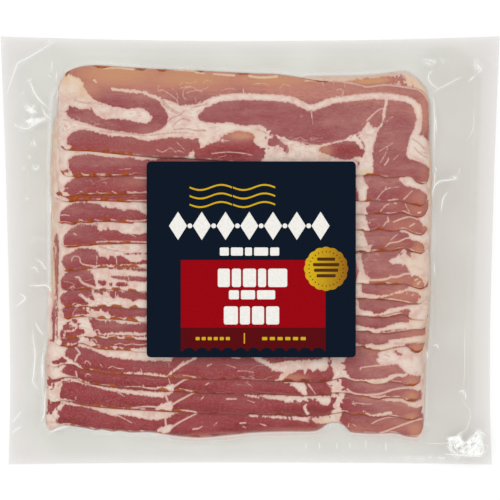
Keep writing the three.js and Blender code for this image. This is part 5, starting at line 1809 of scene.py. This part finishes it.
# What is printed on the label, in pixels of the view
printedAt = {
    "fieldLeft": 181.3, "fieldRight": 325, "fieldTop": 260, "fieldBottom": 330,
    "bandTop": 327.2, "bandBottom": 350.6, "arcs": 11, "firstArc": 189.4, "arcPitch": 12.85,
    "arcHalfWidth": 5.6, "arcHeight": 3.6, "arcEnd": 0.1, "arcSteps": 8,
    "lozenges": 7, "firstLozenge": 178.5, "lozengePitch": 23.6, "lozengeHalfWidth": 9,
    "lozengeHalfHeight": 14, "lozengeY": 226, "dotHalf": 2.4, "dotLeft": 14.2, "dotRight": 9.4,
    "dotCorner": 2.3,
    "waves": 3, "firstWaveY": 187, "wavePitch": 8.5, "waveHeight": 2.6, "waveLine": 1.7, "waveSteps": 15,
    "badgeX": 325.6, "badgeY": 268.7, "badgeRadius": 22, "lobes": 16, "lobeDepth": 0.045, "stepsPerLobe": 6,
    "ticks": 28, "ticksAt": 0.78,
}
# The rows of bars: top, bottom, corner, and each bar's left end and width
paleBars = [
    (247.5, 255.6, 1.2, [(220, 9), (231, 12), (245, 7), (254, 14), (270, 9)]),
    (268.5, 286.8, 2, [(218, 12), (232, 9), (243, 13), (258, 8), (268, 19)]),
    (290, 299, 1.4, [(229, 10), (241, 14), (257, 18)]),
    (306, 324, 2, [(224, 14), (240, 10), (252, 12), (266, 13)]),
]
labelPieces = []


# A layer of ink lies so many steps over the paper's first one.
def inkPiece(name, bm, steps, material):
    low = label["thickness"] - label["inkSunk"]
    high = label["thickness"] + label["ink"] + steps * label["inkStep"]
    labelPieces.append(labelPiece(name, bm, low, high, material))


bm = bmesh.new()
roundedBar(bm, label["middleX"] - label["width"] / 2, label["middleX"] + label["width"] / 2,
           label["middleY"] - label["height"] / 2, label["middleY"] + label["height"] / 2, label["corner"], 6)
labelPieces.append(labelPiece("label_paper", bm, 0, label["thickness"],
                              inkMaterial("coated_paper_navy_ink", label["navy"])))

left, right = printedAt["fieldLeft"], printedAt["fieldRight"]
bm = bmesh.new()
barOnLabel(bm, left, printedAt["fieldTop"], right, printedAt["fieldBottom"], 0)
inkPiece("label_red_field", bm, 0, inkMaterial("red_ink", label["red"]))

# The dark band's lower edge has shallow arcs cut up into it.
bm = bmesh.new()
top, bottom = printedAt["bandTop"], printedAt["bandBottom"]
outline = [(left, top), (left, bottom)]
for i in range(printedAt["arcs"]):
    middle = printedAt["firstArc"] + printedAt["arcPitch"] * i
    for turn in np.linspace(printedAt["arcEnd"], math.pi - printedAt["arcEnd"], printedAt["arcSteps"]):
        outline.append((middle - printedAt["arcHalfWidth"] * math.cos(turn),
                        bottom - printedAt["arcHeight"] * math.sin(turn)))
outlineOnLabel(bm, outline + [(right, bottom), (right, top)])
inkPiece("label_dark_band", bm, 1, inkMaterial("dark_red_ink", label["darkRed"]))

# A row of lozenges with small dots between them stands for the title, and rounded bars for the lines below.
bm = bmesh.new()
y, wide, tall = printedAt["lozengeY"], printedAt["lozengeHalfWidth"], printedAt["lozengeHalfHeight"]
for i in range(printedAt["lozenges"]):
    x = printedAt["firstLozenge"] + printedAt["lozengePitch"] * i
    outlineOnLabel(bm, [(x - wide, y), (x, y - tall), (x + wide, y), (x, y + tall)])
    if i:
        barOnLabel(bm, x - printedAt["dotLeft"], y - printedAt["dotHalf"], x - printedAt["dotRight"],
                   y + printedAt["dotHalf"], printedAt["dotCorner"])
for top, bottom, corner, row in paleBars:
    for x, width in row:
        barOnLabel(bm, x, top, x + width, bottom, corner)
inkPiece("label_pale_bars", bm, 1, inkMaterial("cream_ink", label["cream"]))

bm = bmesh.new()
for i in range(printedAt["waves"]):
    y = printedAt["firstWaveY"] + printedAt["wavePitch"] * i
    for start, end in ((190, 232), (233, 275)):
        wave = [(x, y + printedAt["waveHeight"] * math.sin((x - start) / (end - start) * 2 * math.pi))
                for x in np.linspace(start, end, printedAt["waveSteps"])]
        outlineOnLabel(bm, wave + [(x, low + printedAt["waveLine"]) for x, low in reversed(wave)])
barOnLabel(bm, 243.8, 332.6, 245, 343, 0)
for start, end in ((196, 232), (262, 308)):
    for i in range(6):
        left = start + (end - start) * i / 6
        barOnLabel(bm, left, 336.4, left + (end - start) / 9, 339.6, 0.6)
inkPiece("label_gold_lines", bm, 2, inkMaterial("gold_ink", label["gold"]))

bm = bmesh.new()
badgeX, badgeY = onPack([(printedAt["badgeX"], printedAt["badgeY"])])[0]
badgeRadius = printedAt["badgeRadius"] * view["pixel"]
corners = []
rimSteps = printedAt["lobes"] * printedAt["stepsPerLobe"]
for i in range(rimSteps):
    turn = 2 * math.pi * i / rimSteps
    lobe = abs(math.cos(turn * printedAt["lobes"] / 2))
    reach = badgeRadius * (1 - printedAt["lobeDepth"] + printedAt["lobeDepth"] * lobe)
    corners.append(bm.verts.new((badgeX + reach * math.cos(turn), badgeY + reach * math.sin(turn), 0)))
bm.faces.new(corners)
inkPiece("label_badge", bm, 3, inkMaterial("shaded_gold_ink", label["gold"], label["oldGold"], badgeX - 8,
                                           badgeX + 12))

# A ring of ticks and four bars in it stand for the badge's drawing.
bm = bmesh.new()
onBadge = Matrix.Translation((badgeX, badgeY, 0))
tick = Matrix.Translation((badgeRadius * printedAt["ticksAt"], 0, 0)) @ Matrix.Diagonal((0.9, 0.45, 1, 1))
for i in range(printedAt["ticks"]):
    made = bmesh.ops.create_grid(bm, x_segments=1, y_segments=1, size=0.5)["verts"]
    turn = Matrix.Rotation(2 * math.pi * i / printedAt["ticks"], 4, "Z")
    bmesh.ops.transform(bm, matrix=onBadge @ turn @ tick, verts=made)
for top, half in ((257.5, 9), (263, 13), (268.5, 12), (274, 9.5)):
    barOnLabel(bm, printedAt["badgeX"] - half, top, printedAt["badgeX"] + half, top + 3.2, 1)
inkPiece("label_badge_bars", bm, 4, inkMaterial("brown_ink", label["brown"]))
for piece in labelPieces:
    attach(piece, "root")
    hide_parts("front_label")
print("label pieces:", len(labelPieces))

# Soft even light from all round over a white sweep, and a long lens straight above, in metres and watts
studio = {"floorSize": 3.0, "floorDrop": 0.0004, "world": 0.74, "lens": 180.0, "sensor": 36.0,
          "seenWidth": 0.2825, "aimHeight": 0.005, "aimY": 0.00028, "lampSize": 1.0}
lamps = [("left", (-0.9, 0.2, 0.9), 3.2), ("right", (0.9, 0.2, 0.9), 2.4), ("top", (0.1, 1.0, 0.9), 2.4),
         ("near", (-0.1, -0.9, 0.9), 3.2)]
bm = bmesh.new()
bmesh.ops.create_grid(bm, x_segments=1, y_segments=1, size=studio["floorSize"] / 2)
bmesh.ops.translate(bm, verts=bm.verts[:], vec=(0, 0, -studio["floorDrop"]))
mesh = bpy.data.meshes.new("floor")
bm.to_mesh(mesh)
bm.free()
material, tree = newMaterial("white_paper_sweep")
surface = addNode(tree, "ShaderNodeBsdfPrincipled", None,
                  {"Base Color": colour("FAFAFA"), "Roughness": 0.9, "Specular IOR Level": 0.1})
addNode(tree, "ShaderNodeOutputMaterial", None, {"Surface": surface.outputs[0]})
floor = addObject("floor", mesh, material)
floor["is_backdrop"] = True

world = bpy.data.worlds.new("studio")
scene.world = world
world.use_nodes = True
background = world.node_tree.nodes["Background"]
background.inputs["Color"].default_value = (1, 1, 1, 1)
background.inputs["Strength"].default_value = studio["world"]
for name, spot, power in lamps:
    light = bpy.data.lights.new(name, "AREA")
    light.size = studio["lampSize"]
    light.energy = power
    lamp = bpy.data.objects.new(name, light)
    lamp.location = spot
    lamp.rotation_euler = Vector(spot).to_track_quat("Z", "Y").to_euler()
    scene.collection.objects.link(lamp)
scene.view_settings.view_transform = "Standard"

camera = bpy.data.cameras.new("camera")
camera.sensor_width = studio["sensor"]
camera.lens = studio["lens"]
cameraObject = bpy.data.objects.new("camera", camera)
distance = studio["seenWidth"] * studio["lens"] / studio["sensor"]
cameraObject.location = (0, studio["aimY"], studio["aimHeight"] + distance)
scene.collection.objects.link(cameraObject)
scene.camera = cameraObject

({"cad": [list(corner) for corner in cadBox],
           "scene": [list(corner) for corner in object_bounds()]})
